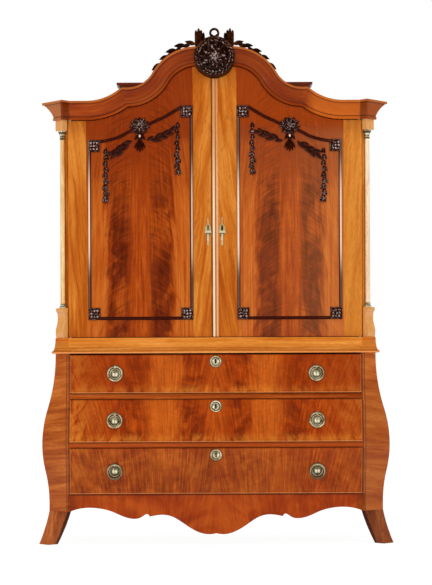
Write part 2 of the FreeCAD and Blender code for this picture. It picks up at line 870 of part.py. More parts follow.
# Lower line of the cornice, per half: level, then an outer hollow up to the joint, and from a level
# start at the joint an inner hollow and a round arc up to the level crown
class Arch:
    def __init__(self):
        self.low = float(case_high)
        self.joint = (mm.arch_joint, self.low + mm.joint_rise)
        wide = mm.arch_run - mm.arch_joint
        self.outer = (wide ** 2 + mm.joint_rise ** 2) / (2 * mm.joint_rise)
        self.outer_turn = math.asin(wide / self.outer)
        self.outer_centre = (mm.arch_run, self.low + self.outer)
        wide = mm.arch_joint - mm.crown_flat
        tall = mm.arch_rise - mm.joint_rise
        both = (wide ** 2 + tall ** 2) / (2 * tall)
        self.round = mm.arch_crown_share * both
        self.hollow = both - self.round
        self.turn = math.asin(wide / both)
        self.hollow_centre = (self.joint[0], self.joint[1] + self.hollow)
        self.round_centre = (mm.crown_flat, float(crown_low) - self.round)

    # Points on a line that runs up above the lower line
    def in_outer(self, angle, up):
        reach = self.outer - up
        x, z = self.outer_centre
        return x - reach * math.sin(angle), z - reach * math.cos(angle)

    def in_hollow(self, angle, up):
        reach = self.hollow - up
        x, z = self.hollow_centre
        return x - reach * math.sin(angle), z - reach * math.cos(angle)

    def in_round(self, angle, up):
        reach = self.round + up
        x, z = self.round_centre
        return x + reach * math.sin(angle), z + reach * math.cos(angle)

    def angle_at(self, x, up):
        return math.asin((x - self.round_centre[0]) / (self.round + up))

    # Steps from the level stretch towards the crown, as far as the given angle
    def rise(self, up, last=0):
        outer, hollow = self.outer - up, self.hollow - up
        corner = crossing(self.outer_centre, outer, self.hollow_centre, hollow, self.joint)
        first = math.asin((self.outer_centre[0] - corner[0]) / outer)
        second = math.asin((self.hollow_centre[0] - corner[0]) / hollow)
        return [
            self.in_outer(0, up),
            (self.in_outer(first / 2, up), corner),
            (self.in_hollow((second + self.turn) / 2, up), self.in_hollow(self.turn, up)),
            (self.in_round((self.turn + last) / 2, up), self.in_round(last, up)),
        ]


arch = Arch()


def flipped(point):
    return -point[0], point[1]


# The same steps on the other side, walked back from the crown
def walked_back(steps):
    ends = steps[:1] + [end for via, end in steps[1:]]
    arcs = [(flipped(via), flipped(end)) for (via, stop), end in zip(steps[1:], ends)]
    return [flipped(ends[-1])] + arcs[::-1]


# Upper cabinet: case, posts, shelves and the board behind the door tops
pivot_line = s.door_half_width - s.door_thickness / 2
post_line = s.door_half_width + s.post_gap
upper_inner = s.upper_half_width - s.upper_side
upper_lining = back_plane - s.back_board
tympanum_low = case_high - s.tympanum_tail
bolt_line = s.meeting_line - s.bolt_inset
bolt_front = door_plane + s.door_thickness + s.seat_gap
shelf_shares = (0.25, 0.5, 0.745)


# Two facing laths that leave the mortise for a bolt between them
def bolt_laths(label, y_span, z_span):
    half = s.bolt_width / 2 + s.bolt_clearance
    left = board(f"{label}_lath_left", (-pivot_line, bolt_line - half), y_span, z_span)
    right = board(f"{label}_lath_right", (bolt_line + half, pivot_line), y_span, z_span)
    return [left, right]


def upper_case():
    z_span = (case_low, case_high)
    x_span = (upper_inner, s.upper_half_width)
    side = node("cabinet_side_right", board("cabinet_side_right", x_span, (post_back, back_plane), z_span))
    node("cabinet_side_left", mirrored("cabinet_side_left", side))
    x_span = (-upper_inner, upper_inner)
    node("cabinet_back", board("cabinet_back", x_span, (upper_lining, back_plane), z_span))
    z_span = (case_high - s.upper_board, case_high)
    node("cabinet_top", board("cabinet_top", x_span, (post_back, upper_lining), z_span))

    narrow = float(pivot_line)
    wide = float(upper_inner)
    stop, step, rear = float(stop_plane), float(post_back), float(upper_lining)
    mortise_back = bolt_front + s.bolt_thickness + s.bolt_clearance
    right = [(narrow, float(mortise_back)), (narrow, step), (wide, step), (wide, rear)]
    outline = loop(flipped(right[0]), right + [flipped(point) for point in reversed(right)])
    plate = padded("bottom_plate", "XY", outline, s.upper_board, case_low)
    z_span = (case_low, case_low + s.upper_board)
    group("cabinet_bottom", [plate] + bolt_laths("bottom", (stop_plane, mortise_back), z_span))

    leg = mm.upper_half_width - float(post_line)
    front = float(door_plane) + mm.post_set
    edge = mm.upper_half_width
    corners = [(edge, front + leg), (edge, step), (narrow, step), (narrow, stop)]
    outline = loop((float(post_line), front), corners + [(float(post_line), stop)])
    post = padded("cabinet_post_right", "XY", outline, s.case_height, case_low)
    node("cabinet_post_right", post)
    node("cabinet_post_left", mirrored("cabinet_post_left", post))

    shelves = []
    battens = []
    edge = upper_inner - s.seat_gap
    y_span = (door_plane + s.shelf_front, upper_lining)
    for number, share in enumerate(shelf_shares):
        low = case_low + s.case_height * share
        shelves.append(board(f"shelf_{number}", (-edge, edge), y_span, (low, low + s.shelf_board)))
        x_span = (upper_inner - s.batten, upper_inner)
        batten = board(f"batten_{number}", x_span, y_span, (low - s.batten, low))
        battens += [batten, mirrored(f"batten_{number}_left", batten)]
    group("shelves", shelves)
    group("shelf_battens", battens)

    lath_high = tympanum_low + s.bolt_travel
    low = float(lath_high)
    up = mm.tympanum_cover
    half = arch.rise(up)
    top = half[0][1]
    steps = [(narrow, low), (narrow, top)] + half + walked_back(half) + [(-narrow, top)]
    outline = loop((-narrow, low), steps)
    arched = padded("tympanum_board", "XZ", outline, post_back - stop_plane, post_back)
    laths = bolt_laths("tympanum", (stop_plane, post_back), (tympanum_low, lath_high))
    group("tympanum", [arched] + laths)


# Doors, drawn for the right side
door_low = case_low + s.door_lift
door_high = case_high - s.door_top_gap
door_rear = door_plane + s.door_thickness
pivot_depth = door_plane + s.door_thickness / 2


def door_outer_stile():
    radius = mm.door_thickness / 2
    front = float(door_plane)
    rear = float(door_rear)
    edge = ((mm.door_half_width, front + radius), (float(pivot_line), rear))
    outline = loop((mm.stile_line, front), [(float(pivot_line), front), edge, (mm.stile_line, rear)])
    stile = padded("outer_stile_blank", "XY", outline, door_high - door_low, door_low)
    deep = s.pivot_length + s.pivot_flange_height
    wide = s.pivot_radius + s.pivot_fit
    long = deep + s.overrun
    low_bore = cylinder("low_bore", wide, long, (pivot_line, pivot_depth, door_low - s.overrun))
    high_bore = cylinder("high_bore", wide, long, (pivot_line, pivot_depth, door_high - deep))
    bored = boolean("Cut", "outer_stile_bored", stile, low_bore)
    return boolean("Cut", "outer_stile", bored, high_bore)


def door_panel():
    low = float(door_low)
    up = -mm.door_top_gap
    last = arch.angle_at(mm.inner_stile_line, up)
    rise = arch.rise(up, last)
    steps = [(mm.stile_line, low), (mm.stile_line, rise[0][1])] + rise
    outline = loop((mm.inner_stile_line, low), steps)
    return padded("door_right_panel", "XZ", outline, s.door_thickness, door_rear)


# The inner stile stops below the medallion, which is fixed to the cornice
def door_inner_stile(label, edge):
    low = float(door_low)
    up = -mm.door_top_gap
    centre = float(medallion_centre)
    notch = mm.medallion_radius + mm.medallion_gap
    last = arch.angle_at(mm.inner_stile_line, up)
    shoulder = arch.in_round(last, up)
    corner = crossing((0, centre), notch, arch.round_centre, arch.round + up, shoulder)
    meet = arch.angle_at(corner[0], up)
    start_angle = math.asin(corner[0] / notch)
    end_angle = math.asin(edge / notch)

    def on_notch(angle):
        return notch * math.sin(angle), centre - notch * math.cos(angle)

    steps = [
        (mm.inner_stile_line, low),
        shoulder,
        (arch.in_round((last + meet) / 2, up), corner),
        (on_notch((start_angle + end_angle) / 2), on_notch(end_angle)),
    ]
    return padded(label, "XZ", loop((edge, low), steps), s.door_thickness, door_rear)


# Turned rosette: shares of its radius and of how far it stands out
rosette_shares = ((0.92, 0.45), (0.72, 0.5), (0.5, 0.2), (0.36, 0.62))


# Half-round bead on the door face: straight, or bent round an axis across the door
def bead_section(point, along):
    side = along.cross(Vector(0, 1, 0)) * mm.bead_radius
    arc = Part.Arc(point + side, point - Vector(0, mm.bead_radius, 0), point - side).toShape()
    return Part.Face(Part.Wire([arc, Part.makeLine(point - side, point + side)]))


def bead(label, start, stop):
    front = float(door_plane)
    here = Vector(start[0], front, start[1])
    there = Vector(stop[0], front, stop[1])
    along = (there - here).normalize()
    return feature(label, bead_section(here, along).extrude(there - here))


def door_carving():
    front = float(door_plane)
    base = float(case_low)
    outer = mm.bead_outer - mm.block_inset
    inner = mm.bead_inner + mm.block_inset
    low = base + mm.bead_bottom + mm.block_inset
    outer_top = base + mm.outer_block_height
    inner_top = base + mm.inner_block_height
    half = mm.block_half
    pieces = []
    corners = ((outer, low), (inner, low), (outer, outer_top), (inner, inner_top))
    for number, (x, z) in enumerate(corners):
        block = doc.addObject("Part::Wedge", f"corner_block_{number}")
        for name in ("X", "Z"):
            bind(block, f"{name}min", -s.block_top_half)
            bind(block, f"{name}max", s.block_top_half)
            bind(block, f"{name}2min", -s.block_half)
            bind(block, f"{name}2max", s.block_half)
        bind(block, "Ymin", -s.block_proud)
        bind(block, "Ymax", zero)
        block.Placement = Placement(Vector(x, front, z), Rotation())
        pieces.append(block)
    pieces.append(bead("bead_side", (mm.bead_outer, low + half), (mm.bead_outer, outer_top - half)))
    pieces.append(bead("bead_middle", (mm.bead_inner, low + half), (mm.bead_inner, inner_top - half)))
    foot = base + mm.bead_bottom
    pieces.append(bead("bead_foot", (inner + half, foot), (outer - half, foot)))

    start = Vector(outer - half, front, outer_top + mm.bead_end_rise)
    stop = Vector(inner + half, front, inner_top + mm.bead_top_rise)
    chord = stop - start
    bend = (chord.Length ** 2 / 4 + mm.bead_sag ** 2) / (2 * mm.bead_sag)
    level = Vector(chord).normalize()
    centre = start + chord * 0.5 + level.cross(Vector(0, -1, 0)) * (bend - mm.bead_sag)
    half_turn = math.asin(chord.Length / 2 / bend)
    rosette_z = base + mm.rosette_height
    middle = Vector(mm.rosette_place, front, rosette_z)
    along = (centre - start).cross(Vector(0, -1, 0)).normalize()
    whole = bead_section(start, along).revolve(centre, Vector(0, 1, 0), math.degrees(2 * half_turn))
    behind = middle + Vector(0, mm.overrun, 0)
    hub = Part.makeCylinder(mm.rosette_radius, 2 * mm.overrun, behind, Vector(0, -1, 0))
    arms = whole.cut(hub).Solids
    pieces += [feature(f"bead_arch_{number}", arm) for number, arm in enumerate(arms)]

    rim, ring, hollow, boss = [
        (mm.rosette_radius * x, mm.rosette_proud * out) for x, out in rosette_shares]
    outline = loop((0, 0), [
        (mm.rosette_radius, 0),
        (rim, ring),
        (hollow, boss),
        cap(boss, mm.rosette_proud),
    ])
    pieces.append(turned("rosette", outline, Placement(middle, facing_front)))
    pieces += garlands(middle)
    group("door_right_carving", pieces)
    node("door_left_carving", mirrored("door_left_carving", nodes["door_right_carving"]))


# Garlands of husks: shares of the bead frame's half width and of the garlands' drop from the case top
garland_shares = (
    ((0.865, 0.35), (0.865, 1)),
    ((0.29, 0.005), (0.29, 0.676)),
    ((0.597, 0.222), (0.597, 0.374)),
    ((0.865, 0.38), (0.756, 0.35), (0.665, 0.289)),
    ((0.518, 0.249), (0.426, 0.219), (0.333, 0.147), (0.29, 0.013)),
)


# A leaf outline: two arcs that meet in points
def leaf_face(start, one_side, stop, other_side):
    there = Part.Arc(start, one_side, stop).toShape()
    back = Part.Arc(stop, other_side, start).toShape()
    return Part.Face(Part.Wire([there, back]))


def husk(point, along):
    half = along * (mm.husk_length / 2)
    side = along.cross(Vector(0, 1, 0)) * (mm.husk_width / 2)
    tip, tail = point + half, point - half
    return leaf_face(tail, point + side, tip, point - side).extrude(Vector(0, -mm.husk_proud, 0))


def garlands(rosette):
    front = float(door_plane)
    places = []
    husks = []
    for line in garland_shares:
        corners = []
        for x, drop in line:
            corners.append(Vector(x * mm.bead_outer, front, float(case_high) - drop * mm.garland_drop))
        path = Part.makePolygon(corners)
        count = int(path.Length // mm.husk_length)
        for point in path.discretize(Distance=path.Length / max(count, 1)):
            clear = all((point - other).Length > mm.husk_length for other in places)
            off_rosette = (point - rosette).Length > mm.rosette_radius + mm.husk_length / 2
            if not (clear and off_rosette):
                continue
            near = min(path.Edges, key=lambda item: item.distToShape(Part.Vertex(point))[0])
            along = (near.Vertexes[1].Point - near.Vertexes[0].Point).normalize()
            places.append(point)
            husks.append(feature(f"husk_{len(places)}", husk(point, along)))
    return husks


def door_plate(label, x):
    front = float(door_plane)
    z = float(case_low) + mm.door_plate_height
    sheet_thick = Vector(0, -mm.plate_sheet, 0)
    half = mm.plate_height / 2
    low, high = Vector(x, front, z - half), Vector(x, front, z + half)
    side = Vector(mm.plate_width / 2, 0, 0)
    centre = Vector(x, front, z)
    leaf = leaf_face(low, centre + side, high, centre - side).extrude(sheet_thick)
    bulb_centre = centre + Vector(0, 0, mm.plate_bulb)
    bulb = Part.makeCylinder(mm.plate_bulb, mm.plate_sheet, bulb_centre, Vector(0, -1, 0))
    corner = centre - Vector(mm.plate_bulb, mm.plate_sheet, mm.plate_bulb)
    bar = Part.makeBox(2 * mm.plate_bulb, mm.plate_sheet, mm.plate_bar, corner)
    whole = feature(f"{label}_sheet", leaf.multiFuse([bulb, bar]).removeSplitter())
    key_z = bulb_centre.z + mm.keyhole_radius
    hole = keyhole(f"{label}_hole", x, key_z, door_plane - s.overrun, door_plane + s.overrun)
    return boolean("Cut", label, whole, hole)


# Staples hold each bolt at shares of its length
staple_shares = (0.2, 0.8)


def sliding_bolt(name, low):
    half = s.bolt_width / 2
    y_span = (bolt_front, bolt_front + s.bolt_thickness)
    z_span = (low, low + s.bolt_length)
    bar = board(f"bolt_{name}_bar", (bolt_line - half, bolt_line + half), y_span, z_span)
    knob = doc.addObject("Part::Cylinder", f"bolt_{name}_knob")
    bind(knob, "Radius", s.bolt_knob)
    bind(knob, "Height", s.bolt_knob_out)
    middle = float(low + s.bolt_length / 2)
    start = Vector(float(bolt_line), float(bolt_front) + mm.bolt_thickness, middle)
    knob.Placement = Placement(start, Rotation(Vector(1, 0, 0), -90))
    node(f"door_bolt_{name}", boolean("Fuse", f"door_bolt_{name}", bar, knob))

    staples = []
    inside = half + s.bolt_fit
    wide = inside + s.staple_wall
    rear = bolt_front + s.bolt_thickness + s.bolt_fit
    outer_span = (bolt_line - wide, bolt_line + wide)
    inner_span = (bolt_line - inside, bolt_line + inside)
    for number, share in enumerate(staple_shares):
        z = low + s.bolt_length * share - s.staple_height / 2
        z_span = (z, z + s.staple_height)
        bridge = board(f"staple_{name}_{number}", outer_span, (door_rear, rear + s.staple_wall), z_span)
        cut_span = (z - s.overrun, z + s.staple_height + s.overrun)
        channel = board(f"channel_{name}_{number}", inner_span, (door_plane, rear), cut_span)
        staples.append(boolean("Cut", f"bridge_{name}_{number}", bridge, channel))
    return staples


def doors():
    outer = door_outer_stile()
    right_edge = mm.meeting_line + mm.meeting_gap / 2
    left_edge = -mm.meeting_line + mm.meeting_gap / 2
    inner = door_inner_stile("inner_stile_blank", right_edge)
    key_z = float(case_low) + mm.door_plate_height + mm.plate_bulb + mm.keyhole_radius
    before = door_plane - s.overrun
    keyway = keyhole("door_keyway", mm.door_plate_offset, key_z, before, door_rear + s.overrun)
    group("door_right_stiles", [outer, boolean("Cut", "inner_stile", inner, keyway)])
    other = mirrored("inner_stile_left", door_inner_stile("inner_stile_left_blank", left_edge))
    group("door_left_stiles", [mirrored("outer_stile_left", outer), other])
    panel = node("door_right_panel", door_panel())
    node("door_left_panel", mirrored("door_left_panel", panel))
    door_carving()

    front = float(door_plane)
    right = (right_edge + 2 * mm.astragal_half, front)
    crest_point = (right_edge + mm.astragal_half, front - mm.astragal_proud)
    outline = loop((right_edge, front), [(crest_point, right)])
    notch_low = medallion_centre - s.medallion_radius - s.medallion_gap * 2
    node("door_astragal", padded("door_astragal", "XY", outline, notch_low - door_low, door_low))

    lock_low = float(case_low) + mm.door_plate_height - mm.door_lock_height / 2
    corner = Vector(right_edge + mm.bolt_clearance, float(door_rear), lock_low)
    box = Part.makeBox(mm.door_lock_width, mm.lock_depth, mm.door_lock_height, corner)
    plate = door_plate("door_plate_right", mm.door_plate_offset)
    group("door_right_brasses", [plate, feature("door_lock", box)])
    staples = sliding_bolt("upper", tympanum_low - s.bolt_clearance - s.bolt_length)
    staples += sliding_bolt("lower", case_low + s.upper_board + s.bolt_clearance)
    left_plate = mirrored("door_plate_left", door_plate("door_plate_left_twin", mm.door_plate_offset))
    group("door_left_brasses", [left_plate] + staples)

    pins = []
    length = s.pivot_flange_height + s.pivot_length
    for name, z, up in (("low", case_low, True), ("high", case_high, False)):
        flange_low = z if up else z - s.pivot_flange_height
        place = (pivot_line, pivot_depth, flange_low)
        flange = cylinder(f"flange_{name}", s.pivot_flange, s.pivot_flange_height, place)
        pin_low = z if up else z - length
        pin = cylinder(f"pin_{name}", s.pivot_radius, length, (pivot_line, pivot_depth, pin_low))
        pivot = boolean("Fuse", f"pivot_{name}", flange, pin)
        pins += [pivot, mirrored(f"pivot_{name}_left", pivot)]
    group("door_pivots", pins)


# Diagonal columns on the canted posts
post_leg = mm.upper_half_width - float(post_line)
cant_middle = Vector(float(post_line) + post_leg / 2, float(door_plane) + mm.post_set + post_leg / 2, 0)
outward = Vector(math.sqrt(0.5), -math.sqrt(0.5), 0)
sideways = Vector(math.sqrt(0.5), math.sqrt(0.5), 0)


# A piece drawn as a profile across the canted face, cut off beside the door
def diagonal_piece(label, outline):
    body = doc.addObject("PartDesign::Body", f"{label}_block")
    pad = body.newObject("PartDesign::Pad", f"{label}_pad")
    pad.Profile = sketch_on(body, "XZ", outline)
    pad.Midplane = True
    bind(pad, "Length", s.impost_half * 2)
    body.Placement = Placement(cant_middle, diagonal)
    x_span = (post_line, s.upper_half_width + s.overrun * 2)
    y_span = (door_plane - s.overrun * 2, door_plane + s.overrun * 2)
    keep = board(f"{label}_keep", x_span, y_span, (case_low, case_high))
    return boolean("Common", label, body, keep)


# Profiles of the bracket, of the brass foot and of the brass capital, as shares of width and height
bracket_shares = ((1.129, 0.17), (0.971, 0.38), (0.71, 0.6), (0.795, 0.848), (1.05, 0.924), (0.9, 1))
brass_foot_shares = ((1.06, 0.2), (1, 0.4), (0.8, 0.55), (0.86, 0.75))
capital_shares = ((0.62, 0.45), (0.92, 0.74), (1, 0.76))
necking_share = 0.12


def columns():
    low = float(case_low)
    high = float(case_high)
    tall = mm.bracket_height
    belly, waist_line, neck, collar, roll, top = [
        (mm.impost_out * x, low + tall * up) for x, up in bracket_shares]
    outline = loop((0, low), [
        (mm.impost_out, low),
        (belly, waist_line),
        (neck, collar),
        (roll, top),
        (0, low + tall),
    ])
    bracket = diagonal_piece("column_bracket", outline)
    under = high - mm.impost_height
    corners = [(mm.impost_out, under), (mm.impost_out, high), (0, high)]
    impost = diagonal_piece("column_impost", loop((0, under), corners))

    axis = cant_middle + outward * (mm.column_radius + mm.seat_gap)
    base_low = low + tall
    shaft_low = base_low + mm.column_base_height
    shaft_high = under - mm.capital_height
    place = Placement(axis, Rotation())
    corners = [(mm.column_radius, shaft_low), (mm.column_neck_radius, shaft_high), (0, shaft_high)]
    shaft = turned("column_shaft", loop((0, shaft_low), corners), place)
    right = group("column_right", [bracket, shaft, impost])
    node("column_left", mirrored("column_left", right))

    wide = mm.column_base_radius
    torus, seam, hollow, collar = [
        (wide * x, base_low + mm.column_base_height * up) for x, up in brass_foot_shares]
    outline = loop((0, base_low), [
        (wide, base_low),
        (torus, seam),
        (hollow, collar),
        (mm.column_radius, shaft_low),
        (0, shaft_low),
    ])
    foot = turned("column_foot_turned", outline, place)
    wide = mm.capital_radius
    bell, lip, abacus = [
        (wide * x, shaft_high + mm.capital_height * up) for x, up in capital_shares]
    outline = loop((0, shaft_high), [
        (mm.column_radius, shaft_high),
        (mm.column_radius, shaft_high + mm.capital_height * necking_share),
        (bell, lip),
        abacus,
        (wide, under),
        (0, under),
    ])
    capital = turned("capital_turned", outline, place)
    post = nodes["cabinet_post_right"]
    brasses = [
        boolean("Cut", "column_foot", foot, post),
        boolean("Cut", "column_capital", capital, post),
    ]
    group("column_brasses", brasses + [mirrored(f"{item.Name}_left", item) for item in brasses])


# Cornice: profile as distance out from the lower line and height above it
def cornice_profile(core):
    step = mm.cornice_step
    start = (mm.cornice_bead_out - step / 2, mm.cornice_fillet)
    stop = (mm.cornice_reach - step, mm.cornice_height - mm.cornice_top_fillet)
    sag = mm.cavetto_sag / 2
    via = ((start[0] + stop[0]) / 2 - sag, (start[1] + stop[1]) / 2 + sag)
    steps = [
        (mm.cornice_bead_out, 0),
        (mm.cornice_bead_out, mm.cornice_fillet),
        start,
        (via, stop),
        (mm.cornice_reach, stop[1]),
        (mm.cornice_reach, mm.cornice_height),
        (-core, mm.cornice_height),
    ]
    wire = Part.Wire([item.toShape() for item in loop((-core, 0), steps)])
    across = Rotation(Vector(0, -1, 0), Vector(0, 0, 1), Vector(-1, 0, 0), "XYZ")
    wire.Placement = Placement(Vector(), across)
    return wire


def cornice():
    front = float(door_plane)
    low = float(case_high)
    deep = mm.door_thickness + mm.door_back_gap
    run = mm.arch_run
    lean = Vector(0, 1, 0)
    section = Part.Face(cornice_profile(deep))
    section.translate(Vector(run, front, low))
    points = (arch.outer_centre, arch.joint, arch.hollow_centre, arch.round_centre)
    outer, joint, hollow, crown = [Vector(x, front, z) for x, z in points]
    outer_turn = math.degrees(arch.outer_turn)
    turn = math.degrees(arch.turn)
    tip = mm.cornice_height * math.tan(arch.outer_turn)
    end_part = section.revolve(outer, lean, outer_turn)
    section.rotate(outer, lean, outer_turn)
    end_tip = section.extrude(Vector(-math.cos(arch.outer_turn), 0, math.sin(arch.outer_turn)) * tip)
    section.rotate(joint, lean, -outer_turn)
    arch_tip = section.extrude(Vector(tip, 0, 0))
    arch_low = section.revolve(hollow, lean, turn)
    section.rotate(hollow, lean, turn)
    arch_high = section.revolve(crown, lean, -turn)
    section.rotate(crown, lean, -turn)
    level = section.extrude(Vector(-mm.crown_flat, 0, 0))

    # Mitre between the outer hollow and the inner hollow
    thick = deep + mm.cornice_reach
    beyond = Part.makeBox(
        2 * tip, 3 * thick, 3 * mm.cornice_height, Vector(0, -2 * thick, -mm.cornice_height))
    beyond.rotate(Vector(), lean, outer_turn / 2)
    beyond.translate(joint)
    end_part = end_part.fuse(end_tip.common(beyond))
    inner_part = arch_low.multiFuse([arch_tip.cut(beyond), arch_high, level])
    medallion = Part.makeCylinder(
        mm.medallion_radius, 2 * (mm.overrun + mm.medallion_out),
        Vector(0, front - mm.overrun - mm.medallion_out, float(medallion_centre)), lean)
    half = feature("cornice_arch_right", inner_part.cut(medallion).removeSplitter())
    node("cornice_arch_right", half)
    node("cornice_arch_left", mirrored("cornice_arch_left", half))

    reach = outward * mm.impost_out
    near = cant_middle + reach - sideways * mm.impost_half
    far = cant_middle + reach + sideways * mm.impost_half
    inner = Vector(near.x - (front - near.y), front, 0)
    side = Vector(mm.upper_half_width, far.y + far.x - mm.upper_half_width, 0)
    rear = Vector(mm.upper_half_width, float(back_plane), 0)
    path = [Vector(run, front, 0), inner, near, far, side, rear]
    wire = cornice_profile(mm.cornice_core)
    wire.translate(Vector(run, front, 0))
    mitred = Part.makePolygon(path).makePipeShell([wire], True, False, 1)
    mitred.translate(Vector(0, 0, low))
    lath = Part.makeBox(
        float(pivot_line) - run, deep - mm.cornice_core, mm.cornice_height,
        Vector(run, front + mm.cornice_core, low))
    corner = feature("cornice_corner_right", mitred.multiFuse([lath, end_part]).removeSplitter())
    node("cornice_corner_right", corner)
    node("cornice_corner_left", mirrored("cornice_corner_left", corner))


# Crest: medallion, torches, bow ring, laurel sprays and the stands for vases
medallion_shares = ((0.96, 0), (0.86, 0), (0.8, 0.5), (0.72, 0.333))
torch_shares = (
    (1, 0), (1, 0.72), (0.72, 0.94), (0.42, 0.78), (0.1, 1),
    (-0.3, 0.82), (-0.62, 0.97), (-1, 0.7), (-1, 0),
)
leaf_shares = (0.13, 0.26, 0.39, 0.52, 0.65, 0.78, 0.91)
leaf_tilts = (-58, -24)
stand_sag_share = 0.7


def crest():
    front = float(door_plane)
    centre = float(medallion_centre)
    radius = mm.medallion_radius
    deep = mm.door_thickness + mm.door_back_gap
    out = mm.medallion_out
    dome = mm.medallion_dome
    rim, crown, hollow, seam = [(radius * x, out - dome * sunk) for x, sunk in medallion_shares]
    outline = loop((0, -deep), [
        (radius, -deep),
        (radius, out - dome / 2),
        (rim, crown),
        (hollow, seam),
        cap(seam, out + dome),
    ])
    disc = turned("medallion", outline, Placement(Vector(0, front, centre), facing_front))
    doc.recompute()
    cutter = disc.Shape

    corners = []
    tall = mm.torch_high - mm.torch_low
    foot = centre + mm.torch_low
    for x, up in torch_shares:
        corners.append(Vector(mm.torch_place + x * mm.torch_half, front - mm.torch_out, foot + up * tall))
    face = Part.Face(Part.makePolygon(corners + corners[:1]))
    block = face.extrude(Vector(0, mm.torch_thickness, 0))
    torch = feature("torch_right", block.cut(cutter))
    bow_place = Vector(0, front - mm.torch_out / 2, centre + mm.bow_height)
    ring = Part.makeTorus(mm.bow_radius, mm.bow_wire, bow_place, Vector(0, 1, 0))
    bow = feature("bow_ring", ring.cut(cutter))
    group("crest", [disc, torch, mirrored("torch_left", torch), bow])

    crown_centre = Vector(arch.round_centre[0], 0, arch.round_centre[1])
    high = arch.round + mm.cornice_height
    stem_high = high + mm.spray_stem
    thick = mm.spray_thickness
    section = [Vector(0, y, z) for y, z in ((0, high), (thick, high), (thick, stem_high), (0, stem_high))]
    stem_face = Part.Face(Part.makePolygon(section + section[:1]))
    first = leaf_shares[0] * math.degrees(arch.turn)
    last = leaf_shares[-1] * math.degrees(arch.turn)
    lean = Vector(0, 1, 0)
    stem_face.rotate(Vector(), lean, first)
    leaves = []
    spacing = (leaf_shares[1] - leaf_shares[0]) * arch.turn * high
    middle = Vector(spacing * mm.spray_leaf_share / 2, 0, 0)
    wide = Vector(0, 0, spacing * mm.spray_leaf_width_share / 2)
    for number, share in enumerate(leaf_shares):
        face = leaf_face(Vector(), middle + wide, middle * 2, middle - wide)
        leaf = face.extrude(Vector(0, thick, 0))
        leaf.rotate(Vector(), lean, leaf_tilts[number % 2])
        leaf.translate(Vector(0, 0, high + mm.spray_stem / 2))
        leaf.rotate(Vector(), lean, share * math.degrees(arch.turn))
        leaves.append(leaf)
    stem = stem_face.revolve(Vector(), lean, last - first)
    whole = stem.multiFuse(leaves)
    whole.translate(crown_centre + Vector(0, front - mm.spray_out - thick, 0))
    arch_shape = nodes["cornice_arch_right"].Shape
    spray = feature("spray_right", whole.cut(arch_shape).removeSplitter())
    group("crest_sprays", [spray, mirrored("spray_left", spray)])

    low = float(case_high)
    bottom, top = low + mm.stand_low, low + mm.stand_high
    lip = top - mm.stand_lip
    flare = mm.stand_outer - mm.stand_flare
    leg_inner = mm.stand_inner + mm.stand_leg_inset
    leg_outer = flare - mm.stand_leg_inset
    via = (flare + mm.stand_flare * (1 - stand_sag_share), bottom + (lip - bottom) * stand_sag_share)
    outline = loop((leg_inner, low), [
        (leg_outer, low), (leg_outer, bottom), (flare, bottom), (via, (mm.stand_outer, lip)),
        (mm.stand_outer, top), (mm.stand_inner, top), (mm.stand_inner, bottom), (leg_inner, bottom)])
    stand = padded("vase_stand", "XZ", outline, s.stand_depth, post_back + s.stand_depth)
    group("vase_stands", [stand, mirrored("vase_stand_left", stand)])


base_carcase()
base_inside()
apron()
feet()
waist()
drawers()
upper_case()
doors()
columns()
cornice()
crest()

doc.recompute()
os.makedirs("parts", exist_ok=True)
for item in doc.Objects:
    if "Invalid" in item.State or "Error" in item.State:
        raise RuntimeError(f"{item.Label} failed: {item.State}")
for label, item in nodes.items():
    if item.Shape.isNull() or not item.Shape.isValid():
        raise RuntimeError(f"{label} has no valid shape")
    item.Shape.exportStep(f"parts/{label}.step")
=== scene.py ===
import bpy
import bmesh
import math
from mathutils import Matrix, Vector


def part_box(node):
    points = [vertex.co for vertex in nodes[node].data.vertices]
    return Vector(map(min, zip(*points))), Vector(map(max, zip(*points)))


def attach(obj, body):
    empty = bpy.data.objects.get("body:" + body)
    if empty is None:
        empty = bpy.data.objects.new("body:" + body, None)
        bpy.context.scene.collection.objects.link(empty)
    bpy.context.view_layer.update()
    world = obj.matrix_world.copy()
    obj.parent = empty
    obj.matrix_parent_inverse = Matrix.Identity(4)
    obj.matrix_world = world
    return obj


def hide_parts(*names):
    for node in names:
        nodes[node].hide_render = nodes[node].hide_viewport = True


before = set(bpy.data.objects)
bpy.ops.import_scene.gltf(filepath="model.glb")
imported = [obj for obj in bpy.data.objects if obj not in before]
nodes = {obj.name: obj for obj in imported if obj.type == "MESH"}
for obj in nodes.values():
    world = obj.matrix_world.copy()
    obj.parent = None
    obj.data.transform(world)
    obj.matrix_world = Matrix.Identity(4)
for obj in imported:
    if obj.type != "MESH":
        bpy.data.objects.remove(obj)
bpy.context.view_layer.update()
scene = bpy.context.scene
scene.view_settings.view_transform = "Standard"
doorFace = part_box("door_right_panel")[0].y  # front of the doors
print("frame loaded,", len(nodes), "nodes")


def tone(red, green, blue):  # a colour as it looks on screen, 0 to 255
    def linear(level):
        share = level / 255
        return share / 12.92 if share <= 0.04045 else ((share + 0.055) / 1.055) ** 2.4
    return linear(red), linear(green), linear(blue), 1.0


def stain(red, green, blue):  # a wood's colour under the sheen its polish adds
    return tuple(max(level - 0.0026, 0.0006) for level in tone(red, green, blue)[:3]) + (1.0,)


def stains(**colours):
    return {name: stain(*colour) for name, colour in colours.items()}


def tones(**colours):
    return {name: tone(*colour) for name, colour in colours.items()}


